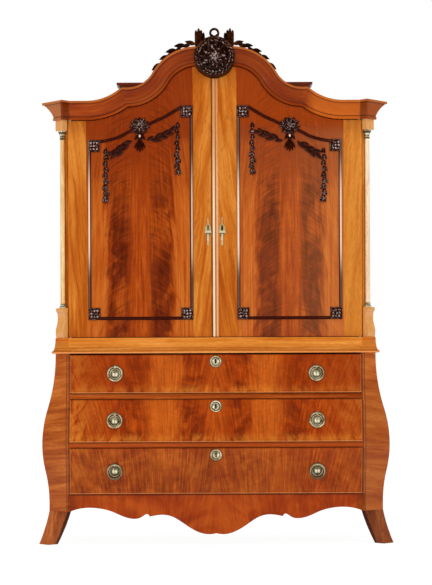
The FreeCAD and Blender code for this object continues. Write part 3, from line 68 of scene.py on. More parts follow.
class Socket:  # a node socket that takes plain sums
    def __init__(self, tree, source):
        self.tree = tree
        self.source = source

    def node(self, kind, settings, values, output=0):
        made = self.tree.nodes.new(kind)
        for key, value in settings.items():
            if key == "stops":
                bar = made.color_ramp.elements
                while len(bar) < len(value):
                    bar.new(0.5)
                for stop, (spot, colour) in zip(bar, value):
                    stop.position = spot
                    stop.color = colour
            else:
                setattr(made, key, value)
        for key, value in values.items():
            if isinstance(value, Socket):
                self.tree.links.new(value.source, made.inputs[key])
            else:
                made.inputs[key].default_value = value
        return Socket(self.tree, made.outputs[output])

    def sum(self, operation, first, second=0.0):
        return self.node("ShaderNodeMath", {"operation": operation}, {0: first, 1: second})

    def __add__(self, other):
        return self.sum("ADD", self, other)

    def __sub__(self, other):
        return self.sum("SUBTRACT", self, other)

    def __rsub__(self, other):
        return self.sum("SUBTRACT", other, self)

    def __mul__(self, other):
        return self.sum("MULTIPLY", self, other)

    def __abs__(self):
        return self.sum("ABSOLUTE", self)

    __radd__ = __add__
    __rmul__ = __mul__

    def parts(self):  # x, y and z of a vector
        first = self.node("ShaderNodeSeparateXYZ", {}, {0: self})
        return [Socket(self.tree, out) for out in first.source.node.outputs]

    def vector(self, x, y, z):
        return self.node("ShaderNodeCombineXYZ", {}, {0: x, 1: y, 2: z})

    def rise(self, low, high):  # 0 below low, 1 above high
        settings = {"interpolation_type": "SMOOTHSTEP"}
        return self.node("ShaderNodeMapRange", settings, {0: self, 1: low, 2: high, 3: 0.0, 4: 1.0})

    def band(self, low, high, soft):  # 1 between low and high
        return self.rise(low - soft, low + soft) * (1 - self.rise(high - soft, high + soft))

    def noise(self, detail, rough, twist=0.0):
        values = {"Vector": self, "Scale": 1.0, "Detail": detail, "Roughness": rough, "Distortion": twist}
        return self.node("ShaderNodeTexNoise", {}, values)

    def mottle(self, across, up, detail=2.0):  # noise of one scale over x and y, and one up z
        x, y, z = self.parts()
        return self.vector(x * across, y * across, z * up).noise(detail, 0.6)

    def reach(self, other):  # distance, from how far it is each way
        return self.sum("SQRT", self * self + other * other)

    def nearest(self, spots):  # distance to the nearest of some spots
        far = abs(self - spots[0])
        for spot in spots[1:]:
            far = far.sum("MINIMUM", far, abs(self - spot))
        return far

    def ramp(self, stops):
        return self.node("ShaderNodeValToRGB", {"stops": stops}, {0: self})

    def blend(self, low, high):  # this value mixes two colours
        return self.node("ShaderNodeMix", {"data_type": "RGBA"}, {0: self, 6: low, 7: high}, 2)

    def shade(self, colour, amount):  # this value darkens or lightens a colour
        settings = {"data_type": "RGBA", "blend_type": "MULTIPLY"}
        grey = self.node("ShaderNodeMapRange", {}, {0: self, 1: 0.25, 2: 0.75, 3: amount, 4: 2 - amount})
        return self.node("ShaderNodeMix", settings, {0: 1.0, 6: colour, 7: grey}, 2)


def pieceOf(name, data):
    piece = bpy.data.objects.new(name, data)
    scene.collection.objects.link(piece)
    return piece


def finish(name, paint, fixed):
    material = bpy.data.materials.new(name)
    material.use_nodes = True
    tree = material.node_tree
    shader = tree.nodes["Principled BSDF"]
    for key, value in fixed.items():
        shader.inputs[key].default_value = value
    place = Socket(tree, tree.nodes.new("ShaderNodeTexCoord").outputs["Object"])
    for key, value in paint(place, *place.parts()).items():
        tree.links.new(value.source, shader.inputs[key])
    return material


# Woods: where the grain runs, then the figure
polish = {"Specular IOR Level": 0.11}
glaze = {"Coat Weight": 0.5, "Coat Roughness": 0.15, "Specular IOR Level": 0.5}
archLook = {"run": 0.618, "rise": 0.26, "low": 2.05, "joint": 0.4209, "jointRise": 0.063, "flat": 0.082,
            "crownShare": 0.42, "height": 0.086}
cornerLine = {"x": 0.735, "y": -0.2}  # where mouldings turn from the front to the side
grainApart = {"side": 3.1, "arch": 4.3}  # so that no two boards show the same grain
footLine = {"x": 0.703, "z": 0.162, "slope": 0.36}  # a front foot's inner edge
endWide = archLook["run"] - archLook["joint"]
outerArc = (endWide ** 2 + archLook["jointRise"] ** 2) / (2 * archLook["jointRise"])
outerTurn = math.asin(endWide / outerArc)
archWide = archLook["joint"] - archLook["flat"]
archTall = archLook["rise"] - archLook["jointRise"]
archBoth = (archWide ** 2 + archTall ** 2) / (2 * archTall)
archRound = archLook["crownShare"] * archBoth
archHollow = archBoth - archRound
archTurn = math.asin(archWide / archBoth)
archTop = archLook["low"] + archLook["rise"]


def upright(x, y, z):  # the grain leans in towards the meeting line, and out beside the columns
    wide = abs(x)
    sway = x.vector(wide * 5.0, x.rise(-0.01, 0.01) * 4.0, z * 2.2).noise(2.0, 0.5) - 0.5
    lean = 0.13 - wide.rise(0.2, 0.6) * 0.2
    return z, wide + z * lean + sway * 0.09 + x.rise(-0.01, 0.01) * 3.0, y


def level(x, y, z):
    return x, z, y


def aroundCorner(x, y, z):  # mouldings that turn the corner: along the front, then along the side
    side = (abs(x) - cornerLine["x"] - (y - cornerLine["y"])).rise(-0.004, 0.004)
    along = x * (1 - side) + (y + grainApart["side"]) * side
    return along, z, side


def bent(centre, wide, z, sign):  # angle and distance round an arc's centre
    x = (wide - centre[0]) * sign
    up = (z - centre[1]) * sign
    return x.sum("ARCTAN2", x, up), x.reach(up)


def corniceRun(x, y, z):  # along the cornice, up from its lower line, and which board it is
    wide = abs(x)
    side, rise, turned = aroundCorner(x, y, z)
    run, low, joint = archLook["run"], archLook["low"], archLook["joint"]
    jointUp = low + archLook["jointRise"]
    outAngle, outReach = bent((run, low + outerArc), wide, z, -1)
    inAngle, inReach = bent((joint, jointUp + archHollow), wide, z, -1)
    topAngle, topReach = bent((archLook["flat"], archTop - archRound), wide, z, 1)
    half = outerTurn / 2
    onEnd = ((wide - joint) * math.cos(half) - (z - jointUp) * math.sin(half)).rise(-0.0005, 0.0005)
    onLevel = (wide - run).rise(-0.001, 0.001)
    onTop = (archTurn - topAngle).rise(-0.001, 0.001) * (1 - onEnd)
    levelAlong = side * turned + wide * (1 - turned)
    endAlong = onLevel * levelAlong + (1 - onLevel) * (outAngle * outerArc * -1 + run)
    endUp = onLevel * (z - low) + (1 - onLevel) * (outerArc - outReach)
    archAlong = onTop * (topAngle * archRound) + (1 - onTop) * ((2 * archTurn - inAngle) * archHollow)
    archUp = onTop * (topReach - archRound) + (1 - onTop) * (archHollow - inReach)
    along = onEnd * endAlong + (1 - onEnd) * (archAlong + grainApart["arch"])
    return along, onEnd * endUp + (1 - onEnd) * archUp, x.rise(-0.001, 0.001) + turned * 0.5


def acrossPost(x, y, z):  # cross grain on the canted posts and the base sides
    along = (abs(x) + y) * 0.707
    return along, z + along * 0.1, x.rise(-0.01, 0.01) * 3


def alongDepth(x, y, z):
    return y, x, z


def grainOf(place, follow, scale):
    along, across, depth = follow(*place.parts())
    streak = place.vector(along * scale[0], across * scale[1], depth * scale[1]).noise(4.0, 0.6, 0.4)
    cloud = place.vector(along * 1.6, across * 7.0, depth * 7.0).noise(2.0, 0.5, 0.3)
    pores = place.vector(along * 30.0, across * 240.0, depth * 240.0).noise(3.0, 0.7)
    return streak, cloud, pores


def polished(place, colour, pores, cloud, gloss):
    colour = pores.shade(colour, 0.78)
    rough = gloss + cloud * 0.1
    bump = place.node("ShaderNodeBump", {}, {"Strength": 0.1, "Distance": 0.0005, "Height": pores})
    return {"Base Color": colour, "Roughness": rough, "Normal": bump}


def lined(colour, lines):  # where, how strongly, which colour
    for where, amount, shown in lines:
        colour = (where * amount).blend(colour, shown)
    return colour


def corniceWood(name, look):  # painted shade in the quirks under the top fillet and above the lower bead; painted light on the top fillet, the right end and the left return; painted shade on the arch, the corner strips and the right return
    def paint(place, x, y, z):
        wide = abs(x)
        along, up, board = corniceRun(x, y, z)
        out = doorFace - y
        streak = place.vector(along * 2.2, (up + out) * 60.0, board * 9.0).noise(4.0, 0.6, 0.4)
        cloud = place.vector(along * 4.0, up * 20.0, board * 9.0).noise(2.0, 0.5, 0.3)
        pores = place.vector(along * 22.0, up * 900.0, out * 900.0).noise(2.0, 0.6)
        value = streak * 0.5 + cloud * 0.5
        colour = value.ramp([(0.34, look["dark"]), (0.5, look["mid"]), (0.66, look["light"])])
        quirk = up.band(0.0125, 0.0165, 0.0012) + up.band(0.071, 0.0745, 0.0012) * 0.7
        mitre = look["mitre"]
        # painted light and shade: darker arch, lighter right end, shaded corner strips and right return,
        # lighter left return, shaded quirks, lighter top fillet
        colour = lined(colour, [
            (1 - wide.rise(0.4, 0.5), 0.5, look["dark"]), (x.rise(0.42, 0.5), 0.75, look["sunny"]),
            (wide.band(0.7, mitre + 0.0005, 0.0012), 0.7, look["shade"]),
            (x.rise(mitre, mitre + 0.0015), 0.5, look["shade"]),
            ((x * -1).rise(mitre, mitre + 0.0015), 0.65, look["turned"]),
            (quirk, 0.8, look["quirk"]), (up.rise(0.0755, 0.0775), 0.55, look["fillet"])])
        return polished(place, colour, pores, cloud, look["gloss"])
    return finish(name, paint, polish)


def plainWood(name, look, edges=None, coat=polish):
    def paint(place, x, y, z):
        streak, cloud, pores = grainOf(place, look["follow"], look["scale"])
        value = streak * 0.6 + cloud * 0.4
        colour = value.ramp([(0.4, look["dark"]), (0.5, look["mid"]), (0.6, look["light"])])
        colour = lined(colour, edges(x, y, z) if edges else [])
        return polished(place, colour, pores, cloud, look["gloss"])
    return finish(name, paint, coat)


def woodLook(follow, dark, mid, light, scale=(2.2, 60.0), gloss=0.17):
    return stains(dark=dark, mid=mid, light=light) | {"follow": follow, "scale": scale, "gloss": gloss}


edgeLook = stains(
    dark=(88, 34, 12), gold=(218, 142, 56), knot=(140, 62, 16), grime=(72, 44, 18), deep=(56, 20, 8),
    amber=(186, 78, 20)) | tones(pale=(228, 150, 90), shine=(252, 236, 206), pink=(240, 186, 142))
drawerFronts, drawerInsides = [[f"drawer_{row}_{part}" for row in ("bottom", "middle", "top")]
                               for part in ("front", "box")]
drawerBoxes = [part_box(name) for name in drawerFronts]
drawerSpans = [(low.z, high.z) for low, high in drawerBoxes]
drawerEnd = drawerBoxes[2][1].x


def meetingEdges(x, y, z):  # round bead, quirk and flat of the astragal: painted highlights on the bead and the flat that fade towards the top, and painted shade in the quirk
    low = 1 - z.rise(1.6, 2.05) * 0.85
    return [(x.band(-0.0105, -0.002, 0.002) * low, 0.9, edgeLook["shine"]),
            (x.band(0.0015, 0.0045, 0.001), 0.75, edgeLook["dark"]),
            (x.band(0.0065, 0.0155, 0.001) * low, 0.8, edgeLook["pink"])]


def stileEdges(x, y, z):  # the shadow beside the astragal, a brown knot or two, and painted light on the right outer stile
    knot = x.vector(x * 16.0, y, z * 9.0).noise(4.0, 0.65, 0.8)
    front = 1 - abs(y - doorFace).rise(0.002, 0.003)
    return [(x.band(-0.019, -0.012, 0.001) * front, 0.65, edgeLook["dark"]),
            # painted light: the right outer stile is lighter
            (knot.rise(0.58, 0.72), 0.4, edgeLook["knot"]), (x.rise(0.6, 0.62), 0.45, edgeLook["gold"]),
            (z.rise(1.93, 2.04) * abs(x).rise(0.5, 0.55), 0.4, edgeLook["knot"])]


def postEdges(x, y, z):  # painted highlight on a small bead beside the drawers, painted shade in the line beside it and on the lower right post
    wide = abs(x)
    bead = wide.band(drawerEnd + 0.009, drawerEnd + 0.0135, 0.0012) * z.rise(0.242, 0.248)
    # painted shade: the lower right post is darker
    return [(x.rise(0.5, 0.6) * (1 - z.rise(0.7, 0.85)), 0.4, edgeLook["knot"]),
            (bead, 0.7, edgeLook["pale"]),
            (wide.band(drawerEnd + 0.0155, drawerEnd + 0.0195, 0.0012), 0.8, edgeLook["dark"])]


def railEdges(x, y, z):  # the shadow under each drawer's lip, and a redder lower rail
    shadow = sum(z.band(span[0] - 0.01, span[0], 0.001) for span in drawerSpans[1:])
    return [(1 - z.rise(0.52, 0.56), 0.75, edgeLook["amber"]), (shadow, 0.3, edgeLook["dark"])]


def columnEdges(x, y, z):  # golden brackets and imposts, and a painted highlight on the right column's shaft
    shaft = z.band(1.15, 1.975, 0.002)
    return [(1 - shaft, 0.85, edgeLook["gold"]), (shaft * x.rise(0.5, 0.6), 0.5, edgeLook["shine"])]


def footEdges(x, y, z):  # painted shade: the right foot is darker, and both are darker on the inside
    inner = abs(x) - footLine["x"] - (footLine["z"] - z) * footLine["slope"]
    return [(x.rise(0.6, 0.7), 0.55, edgeLook["dark"]),
            (1 - inner.rise(0.014, 0.018), 0.85, edgeLook["deep"])]


def waistEdges(x, y, z):  # painted highlight on the lip at the bottom, painted shade in the bands above it, painted light on a middle band
    return [(z.band(0.952, 0.978, 0.006), 0.35, edgeLook["gold"]),
            (z.band(0.9225, 0.9285, 0.001), 0.75, edgeLook["pale"]),
            (z.band(0.9295, 0.947, 0.001), 0.25, edgeLook["dark"]),
            (z.band(0.947, 0.951, 0.001), 0.4, edgeLook["dark"])]


def pair(name):  # a name with left and with right in it
    return [name.replace("*", side) for side in ("left", "right")]


oakLook = woodLook(level, (150, 104, 58), (176, 130, 80), (196, 154, 104), gloss=0.5)
woods = {
    "stile mahogany": {
        "look": woodLook(upright, (172, 80, 16), (196, 106, 28), (216, 134, 50), (2.4, 42.0)),
        "edges": stileEdges,
        "nodes": pair("door_*_stiles") + pair("cabinet_post_*") + pair("cabinet_side_*") + ["tympanum"]},
    "column mahogany": {
        "look": woodLook(upright, (214, 150, 78), (238, 192, 124), (250, 220, 168), gloss=0.2),
        "edges": columnEdges, "coat": glaze, "nodes": pair("column_*")},
    "astragal mahogany": {
        "look": woodLook(upright, (196, 112, 44), (212, 136, 66), (228, 158, 90), gloss=0.2),
        "edges": meetingEdges, "nodes": ["door_astragal"]},
    "waist mahogany": {
        "look": woodLook(aroundCorner, (186, 92, 20), (213, 122, 38), (234, 150, 66)),
        "edges": waistEdges, "nodes": ["waist_moulding"]},
    "stand mahogany": {
        "look": woodLook(level, (74, 30, 16), (98, 42, 22), (122, 58, 30)), "nodes": ["vase_stands"]},
    "rail mahogany": {
        "look": woodLook(level, (150, 58, 12), (184, 88, 28), (206, 114, 50)),
        "edges": railEdges, "nodes": ["drawer_rails"]},
    "post mahogany": {
        "look": woodLook(acrossPost, (154, 68, 17), (180, 90, 28), (202, 114, 44), (3.0, 36.0)),
        "edges": postEdges, "nodes": pair("base_post_*") + pair("base_side_*")},
    "foot mahogany": {
        "look": woodLook(upright, (158, 76, 30), (174, 90, 40), (190, 108, 56)),
        "edges": footEdges, "nodes": ["front_feet", "back_feet"]},
    "plain oak": {
        "look": oakLook,
        "nodes": [f"{half}_{board}" for half in ("base", "cabinet") for board in ("back", "bottom", "top")]
                 + ["shelves"]},
    "runner oak": {
        "look": dict(oakLook, follow=alongDepth),
        "nodes": ["drawer_runners", "shelf_battens"] + drawerInsides},
}
corniceLook = stains(
    dark=(122, 42, 8), mid=(160, 64, 14), light=(194, 94, 28), sunny=(208, 104, 28), shade=(104, 42, 14),
    fillet=(192, 112, 52), turned=(186, 118, 66),
) | {"quirk": tone(52, 16, 6), "mitre": 0.74, "gloss": 0.17}
archWood = corniceWood("cornice mahogany", corniceLook)

doorLook = stains(
    red=(138, 50, 12), mid=(168, 68, 15), warm=(192, 94, 26), gold=(204, 116, 44), dark=(98, 32, 9),
    brown=(124, 46, 14), inside=(182, 112, 58), haze=(224, 160, 104),
) | {"stem": 0.362, "low": 1.12, "band": (0.055, 0.15, 0.024), "gloss": 0.17}


def doorPaint(place, x, y, z):  # a plume of flame figure up each panel, plain wood beside it
    look = doorLook
    wide = abs(x)
    side = x.rise(-0.01, 0.01)
    plume = wide - look["stem"]
    off = abs(plume)
    warp = place.vector(x * 3.2, y * 3.2, z * 2.1).noise(3.0, 0.55) - 0.5
    fan = plume * (1 + (z - look["low"]) * 0.8)
    streak = place.vector(fan * 60.0, side * 7.0, z * 3.2).noise(6.0, 0.72, 0.35)
    flame = place.vector(fan * 30.0, side * 4.0, z * 7.0).noise(5.0, 0.65, 0.6)
    blot = place.vector(plume * 7.0, side * 5.0, z * 5.5).noise(3.0, 0.55, 0.9)
    barb = place.vector(off * 10.0, side * 3.0, (z + off * off * 3.2) * 78.0).noise(3.0, 0.6, 1.2)
    vein = place.vector(wide * 105.0, side * 6.0, z * 1.8).noise(4.0, 0.6)
    swayed = off + warp * 0.03 + (flame - 0.5) * 0.06
    fade = 1 - (z + warp * 0.4 + (blot - 0.5) * 0.5).rise(1.58, 1.9)
    band = swayed.band(*look["band"])
    dark = band * (0.12 + fade * 0.88) * (0.25 + blot.rise(0.3, 0.56))
    beside = swayed.rise(0.15, 0.19)
    top = (z + warp * 0.3 + wide * 0.25).rise(1.68, 2.02)
    corner = beside * (1 - z.rise(1.92, 1.98))
    colour = (streak * 0.65 + flame * 0.35).ramp(
        [(0.38, look["red"]), (0.5, look["mid"]), (0.62, look["warm"])])
    rim = (vein * 0.7 + flame * 0.3).ramp([(0.38, look["mid"]), (0.48, look["warm"]), (0.6, look["gold"])])
    heart = flame.ramp([(0.4, look["dark"]), (0.62, look["brown"])])
    colour = lined(colour, [
        (beside * (0.25 + fade * 0.75), 0.9, rim), (top * (0.86 - corner * 0.5), 1.0, look["red"]),
        (dark, 0.95, heart)])
    colour = (band * (barb - 0.5) + 0.5).shade(colour, 0.66)
    above = z.rise(1.97, 2.05)
    # painted reflection: a faint pale sheen over the right door's panel, stronger towards its outer side
    haze = side * (1 - above) * (0.05 + plume.rise(-0.1, 0.25) * 0.08)
    inside = y.rise(doorFace + 0.012, doorFace + 0.013)
    colour = lined(colour, [
        (haze, 1.0, look["haze"]), (side * above, 0.45, look["mid"]), (inside, 1.0, look["inside"])])
    return polished(place, colour, streak * 0.6 + barb * 0.4, blot, look["gloss"])


pulls = {"side": 0.484, "heights": (0.823, 0.5985, 0.358)}
drawerLook = stains(
    red=(150, 52, 10), mid=(164, 62, 12), warm=(180, 76, 16), light=(200, 98, 26), dark=(112, 36, 9),
    brown=(152, 66, 19), gold=(180, 92, 30), honey=(206, 116, 36), earth=(116, 46, 13),
) | {"fanSide": 0.24, "lightBand": (0.17, 0.32, 0.04),
     "darkBands": ((0.06, 0.16, 0.035), (0.335, 0.43, 0.04)), "gloss": 0.17}


def drawerPaint(place, x, y, z):  # flames mirrored at the middle, a browner bottom drawer
    look = drawerLook
    wide = abs(x)
    side = x.rise(-0.01, 0.01)
    warp = place.vector(x * 4.0, 2.0, z * 5.0).noise(3.0, 0.55) - 0.5
    flame = place.vector((wide + z * 0.3) * 22.0, side * 5.0, z * 9.0).noise(5.0, 0.65, 0.7)
    lean = (wide - look["fanSide"]) * (1.4 - (z - 0.6) * 1.2)
    fan = place.vector(lean * 75.0, side * 4.0, z * 6.0).noise(5.0, 0.65, 0.3)
    blot = place.vector(x * 8.0, 4.0, z * 11.0).noise(3.0, 0.55, 0.9)
    barb = place.vector((wide + z * 0.5) * 30.0, side * 3.0, (z - wide * 0.3) * 90.0).noise(3.0, 0.6, 1.0)
    swayed = wide + warp * 0.12 + (flame - 0.5) * 0.12
    light = swayed.band(*look["lightBand"]) * 0.95 + swayed.band(-1.0, 0.045, 0.03) * 0.3
    dark = sum(swayed.band(*band) for band in look["darkBands"]) * blot.rise(0.36, 0.62)
    low = 1 - z.rise(0.44, 0.5)
    # painted light: lighter towards the left ends and just above the bottom edges of the middle and top
    # drawers
    glow = (x * -1).rise(0.6, 0.66) * 0.6
    for span in drawerSpans[1:]:
        glow = glow + (1 - (z - span[0]).rise(0.012, 0.05)) * z.rise(span[0] - 0.002, span[0]) * 0.7
    colour = (fan * 0.55 + flame * 0.45).ramp([(0.41, look["red"]), (0.5, look["mid"]), (0.59, look["warm"])])
    patchy = (blot * 0.4 + flame * 0.25 + fan * 0.35).ramp(
        [(0.4, look["earth"]), (0.49, look["brown"]), (0.58, look["gold"])])
    colour = lined(colour, [
        (light * (0.15 + fan), 1.0, look["light"]), (dark * (1 - low * 0.55), 0.8, look["dark"]),
        (wide.rise(0.48, 0.66) * flame.rise(0.3, 0.65), 0.6, look["gold"]),
        (glow * flame.rise(0.36, 0.6), 1.0, look["honey"]),
        (low * (0.8 - x.rise(0.15, 0.45) * 0.35), 1.0, patchy),
        (low * x.band(-0.07, 0.0, 0.002), 0.3, look["earth"]),
        (z.rise(0.72, 0.74) * wide.rise(0.25, 0.4), 0.4, look["red"])])
    colour = barb.shade(colour, 0.86)
    # painted highlight: pale lines along each drawer's lower lip and at its ends
    lip = wide.band(drawerEnd - 0.004, drawerEnd + 0.01, 0.0012) * 0.35
    shadow = wide.band(drawerEnd - 0.009, drawerEnd - 0.0055, 0.001) * 0.4
    for bottom, top in drawerSpans:
        lip = lip + z.band(bottom, bottom + 0.0042, 0.0012)
        shadow = shadow + z.band(top - 0.0045, top + 0.002, 0.0015)
        shadow = shadow + z.band(bottom + 0.0068, bottom + 0.009, 0.001) * 0.5
    # painted shade: a dark ring on the drawer front round each pull
    grime = 1 - (wide - pulls["side"]).reach(z.nearest(pulls["heights"])).rise(0.031, 0.044)
    colour = lined(colour, [
        (grime, 0.85, edgeLook["grime"]), (shadow, 0.55, edgeLook["dark"]), (lip, 0.6, edgeLook["pale"])])
    return polished(place, colour, fan, blot, look["gloss"])


apronLook = stains(
    dark=(104, 34, 8), red=(144, 50, 10), mid=(164, 62, 13), light=(184, 80, 20),
) | {"gloss": 0.17}


def apronPaint(place, x, y, z):  # painted shade at the ends and in a line under the bottom drawer
    look = apronLook
    patch = place.vector(x * 5.0, 1.0, z * 6.0).noise(3.0, 0.5, 0.8)
    streak, cloud, pores = grainOf(place, upright, (4.0, 40.0))
    value = patch * 0.6 + streak * 0.4
    colour = value.ramp([(0.4, look["red"]), (0.5, look["mid"]), (0.6, look["light"])])
    drawerLow = drawerSpans[0][0]
    colour = lined(colour, [
        (abs(x).rise(0.645, 0.69), 0.55, look["dark"]),
        (z.rise(drawerLow - 0.01, drawerLow - 0.006), 0.7, look["dark"])])
    return polished(place, colour, pores, cloud, look["gloss"])


doorVeneer = finish("door flame veneer", doorPaint, polish)
drawerVeneer = finish("drawer flame veneer", drawerPaint, polish)
apronVeneer = finish("apron veneer", apronPaint, polish)

carvingLook = tones(
    deep=(26, 9, 4), mid=(54, 22, 10), worn=(98, 52, 26), rubbed=(200, 176, 168), bead=(62, 17, 7),
    shine=(250, 213, 184),
) | {"rosette": (0.362, 2.02), "drop": 0.05,
     "beads": ((-0.6125, -0.6035, 1.0), (-0.1155, -0.1075, 0.75), (0.1075, 0.1175, 1.0),
               (0.603, 0.6125, 0.95)),
     "chains": (((0.502, 0.55), (1.64, 1.83)), ((0.158, 0.204), (1.78, 1.96)))}


def carvingPaint(place, x, y, z):  # painted highlights: pale glints on the crests, rosettes and husk chains, and pale stripes on the upright beads
    look = carvingLook
    wide = abs(x)
    out = doorFace - y
    patch = place.mottle(60.0, 60.0, 3.0)
    fine = place.mottle(500.0, 220.0)
    spark = place.mottle(110.0, 110.0).rise(0.48, 0.54)
    speck = place.mottle(150.0, 150.0).rise(0.6, 0.65)
    streak = place.mottle(210.0, 90.0).rise(0.62, 0.66)
    crest = z.rise(2.13, 2.14)
    high = 0.0066 + wide.band(0.191, 0.516, 0.003) * 0.0095 + crest * 0.0405
    across, up = wide - look["rosette"][0], z - look["rosette"][1]
    flower = across.reach(up)
    # painted highlight: glints on the highest parts, pale specks on the rosettes and streaks on the husk
    # chains
    rubbed = (out - high).rise(0.0, 0.0025) * spark * (1 - (1 - flower.rise(0.016, 0.02)) * 0.5)
    rubbed = rubbed + (1 - flower.rise(0.042, 0.05)) * speck * (out - 0.006).rise(0.0, 0.002) * 0.9
    chain = sum(wide.band(*sides, 0.002) * z.band(*heights, 0.03) for sides, heights in look["chains"])
    rubbed = rubbed * (1 - chain * 0.4) + chain * streak * (out - 0.003).rise(0.0, 0.002)
    # painted highlight: pale stripes on the upright beads and a spot on each rosette's bud
    bead = sum(x.band(start, end, 0.001) * share for start, end, share in look["beads"])
    shine = z.rise(1.27, 1.45) * (1 - z.rise(1.66, 1.92)) * 0.85 + z.band(1.14, 2.06, 0.002) * 0.1
    shine = bead * shine * (out - 0.0025).rise(0.0, 0.001)
    drop = across.reach((up + look["drop"]) * 0.6325)
    shine = shine + (1 - drop.rise(0.0025, 0.0055)) * out.rise(0.008, 0.01)
    flat = (1 - out.rise(0.0072, 0.0076)) * (1 - crest)
    torch = wide.band(0.062, 0.14, 0.004) * z.rise(2.385, 2.395)
    laurel = z.rise(2.26, 2.27) * wide.rise(0.108, 0.112)
    colour = patch.ramp([(0.38, look["deep"]), (0.55, look["mid"]), (0.75, look["worn"])])
    colour = lined(colour, [
        (flat, 0.8, look["bead"]), (torch, 0.55, look["worn"]), (laurel, 0.7, look["deep"]),
        (rubbed, 0.85, look["rubbed"]), (shine, 1.0, look["shine"])])
    bump = place.node("ShaderNodeBump", {}, {"Strength": 0.2, "Distance": 0.0006, "Height": fine + patch})
    return {"Base Color": colour, "Roughness": 0.14 + patch * 0.16, "Normal": bump}


brassLook = tones(
    tarnish=(96, 76, 36), mid=(172, 150, 98), worn=(238, 228, 194), ring=(40, 28, 12), hole=(10, 6, 4),
    cream=(236, 216, 150), glint=(255, 244, 204), dull=(84, 66, 28),
) | {"shields": (0.8815, 0.6665, 0.4345), "lock": (0.034, 1.523),
     "columnBands": ((1.983, 1.993, 0.001), (1.971, 1.9755, 0.001), (1.957, 1.963, 0.001),
                     (1.1595, 1.163, 0.0008), (1.15, 1.154, 0.0008))}


def brassPaint(place, x, y, z):  # dark rings, cream key plates, painted highlights and reflections on the bosses and plates, and painted shade in the cups, grooves and keyholes
    look = brassLook
    wide = abs(x)
    patch = place.mottle(40.0, 40.0, 4.0)
    scratch = place.mottle(900.0, 140.0)
    across = wide - pulls["side"]
    off = abs(across)
    pull = across.reach(z.nearest(pulls["heights"]))
    dip = sum((1 - abs(z - height).rise(0.05, 0.06)) * (z - height) for height in pulls["heights"])
    keyUp = z.nearest(look["shields"])
    shield = wide.reach(keyUp)
    lock = (x - look["lock"][0]).reach((z - look["lock"][1]) * 0.42)
    # painted shade: black keyholes
    hole = (1 - wide.rise(0.0034, 0.0044)) * (1 - keyUp.rise(0.0105, 0.0125))
    hole = hole + (1 - lock.rise(0.0042, 0.0056)) * y.rise(-0.3, -0.22)
    ring = pull.band(0.0175, 0.0215, 0.001) + shield.band(0.0165, 0.0205, 0.001)
    hollow = (1 - pull.rise(0.0165, 0.0175)) * pull.rise(0.003, 0.006)
    # painted shade: the lower half of each pull's cup is darker
    ring = ring + hollow * (1 - dip.rise(-0.006, 0.008)) * 0.8
    ring = ring + wide.band(0.44, 0.53, 0.005) * pull.rise(0.035, 0.037) * 0.7
    ring = ring + (1 - z.rise(0.95, 0.96)) * wide.band(-1, 0.1, 0.01) * shield.rise(0.026, 0.028)
    ring = ring + wide.rise(0.65, 0.66) * sum(z.band(*band) for band in look["columnBands"])
    boss = (1 - pull.rise(0.0155, 0.0165)) * wide.rise(0.4, 0.42)
    # painted reflection: glints on each boss and rim, with a dark middle on the boss
    glint = boss * off.band(0.0015, 0.0125, 0.002) * dip.band(-0.0115, 0.005, 0.004)
    glint = glint + pull.band(0.0265, 0.0305, 0.001) * 0.6
    dull = boss * (1 - off.rise(0.001, 0.003)) * 0.35
    plate = (1 - wide.rise(0.07, 0.08)) * z.band(1.4, 1.62, 0.004)
    # painted shade in grooves on the key plates, painted highlights on their bar and spine
    beside = abs(wide - look["lock"][0])
    groove = z.band(1.515, 1.54, 0.003) * (1 - beside.rise(0.004, 0.006)) + z.band(1.4965, 1.5015, 0.001)
    dull = dull + plate * (groove + z.band(1.464, 1.497, 0.002) * beside.rise(0.0045, 0.006)) * 0.8
    spine = z.band(1.464, 1.496, 0.003) * (1 - beside.rise(0.003, 0.0045))
    glint = glint + plate * (z.band(1.503, 1.513, 0.001) + spine)
    lowest = (1 - z.rise(0.44, 0.48)) * wide.band(0.43, 0.54, 0.002)  # the bottom drawer's pulls
    colour = patch.ramp([(0.3, look["tarnish"]), (0.4, look["mid"]), (0.6, look["worn"])])
    colour = lined(colour, [
        (lowest, 0.55, look["tarnish"]), (plate, 0.7, look["cream"]), (ring, 0.9, look["ring"]),
        (dull, 1.0, look["dull"]), (glint, 0.9, look["glint"]), (hole, 1.0, look["hole"])])
    bump = place.node("ShaderNodeBump", {}, {"Strength": 0.12, "Distance": 0.0003, "Height": scratch})
    return {"Base Color": colour, "Roughness": 0.36 - patch * 0.22, "Metallic": 0.5 - hole * 0.5,
            "Normal": bump}


darkCarving = finish("dark carving", carvingPaint, {"Specular IOR Level": 0.13})
beadCarving = finish("bead carving", carvingPaint, {"Specular IOR Level": 0.05})
agedBrass = finish("aged brass", brassPaint, {"Specular IOR Level": 0.5})


nodeFinish = {
    archWood: pair("cornice_arch_*") + pair("cornice_corner_*"),
    doorVeneer: pair("door_*_panel"),
    drawerVeneer: drawerFronts,
    apronVeneer: ["apron"],
    darkCarving: ["crest", "crest_sprays"] + pair("door_*_carving"),
}
for name, wood in woods.items():
    made = plainWood(name, wood["look"], wood.get("edges"), wood.get("coat", polish))
    nodeFinish[made] = wood["nodes"]
for wood, names in nodeFinish.items():
    for name in names:
        nodes[name].material_slots[0].material = wood
for name, item in nodes.items():
    if any(word in name for word in ("brasses", "ring", "bolt", "pivots")):
        item.material_slots[0].material = agedBrass
print("finishes on the frame's nodes")


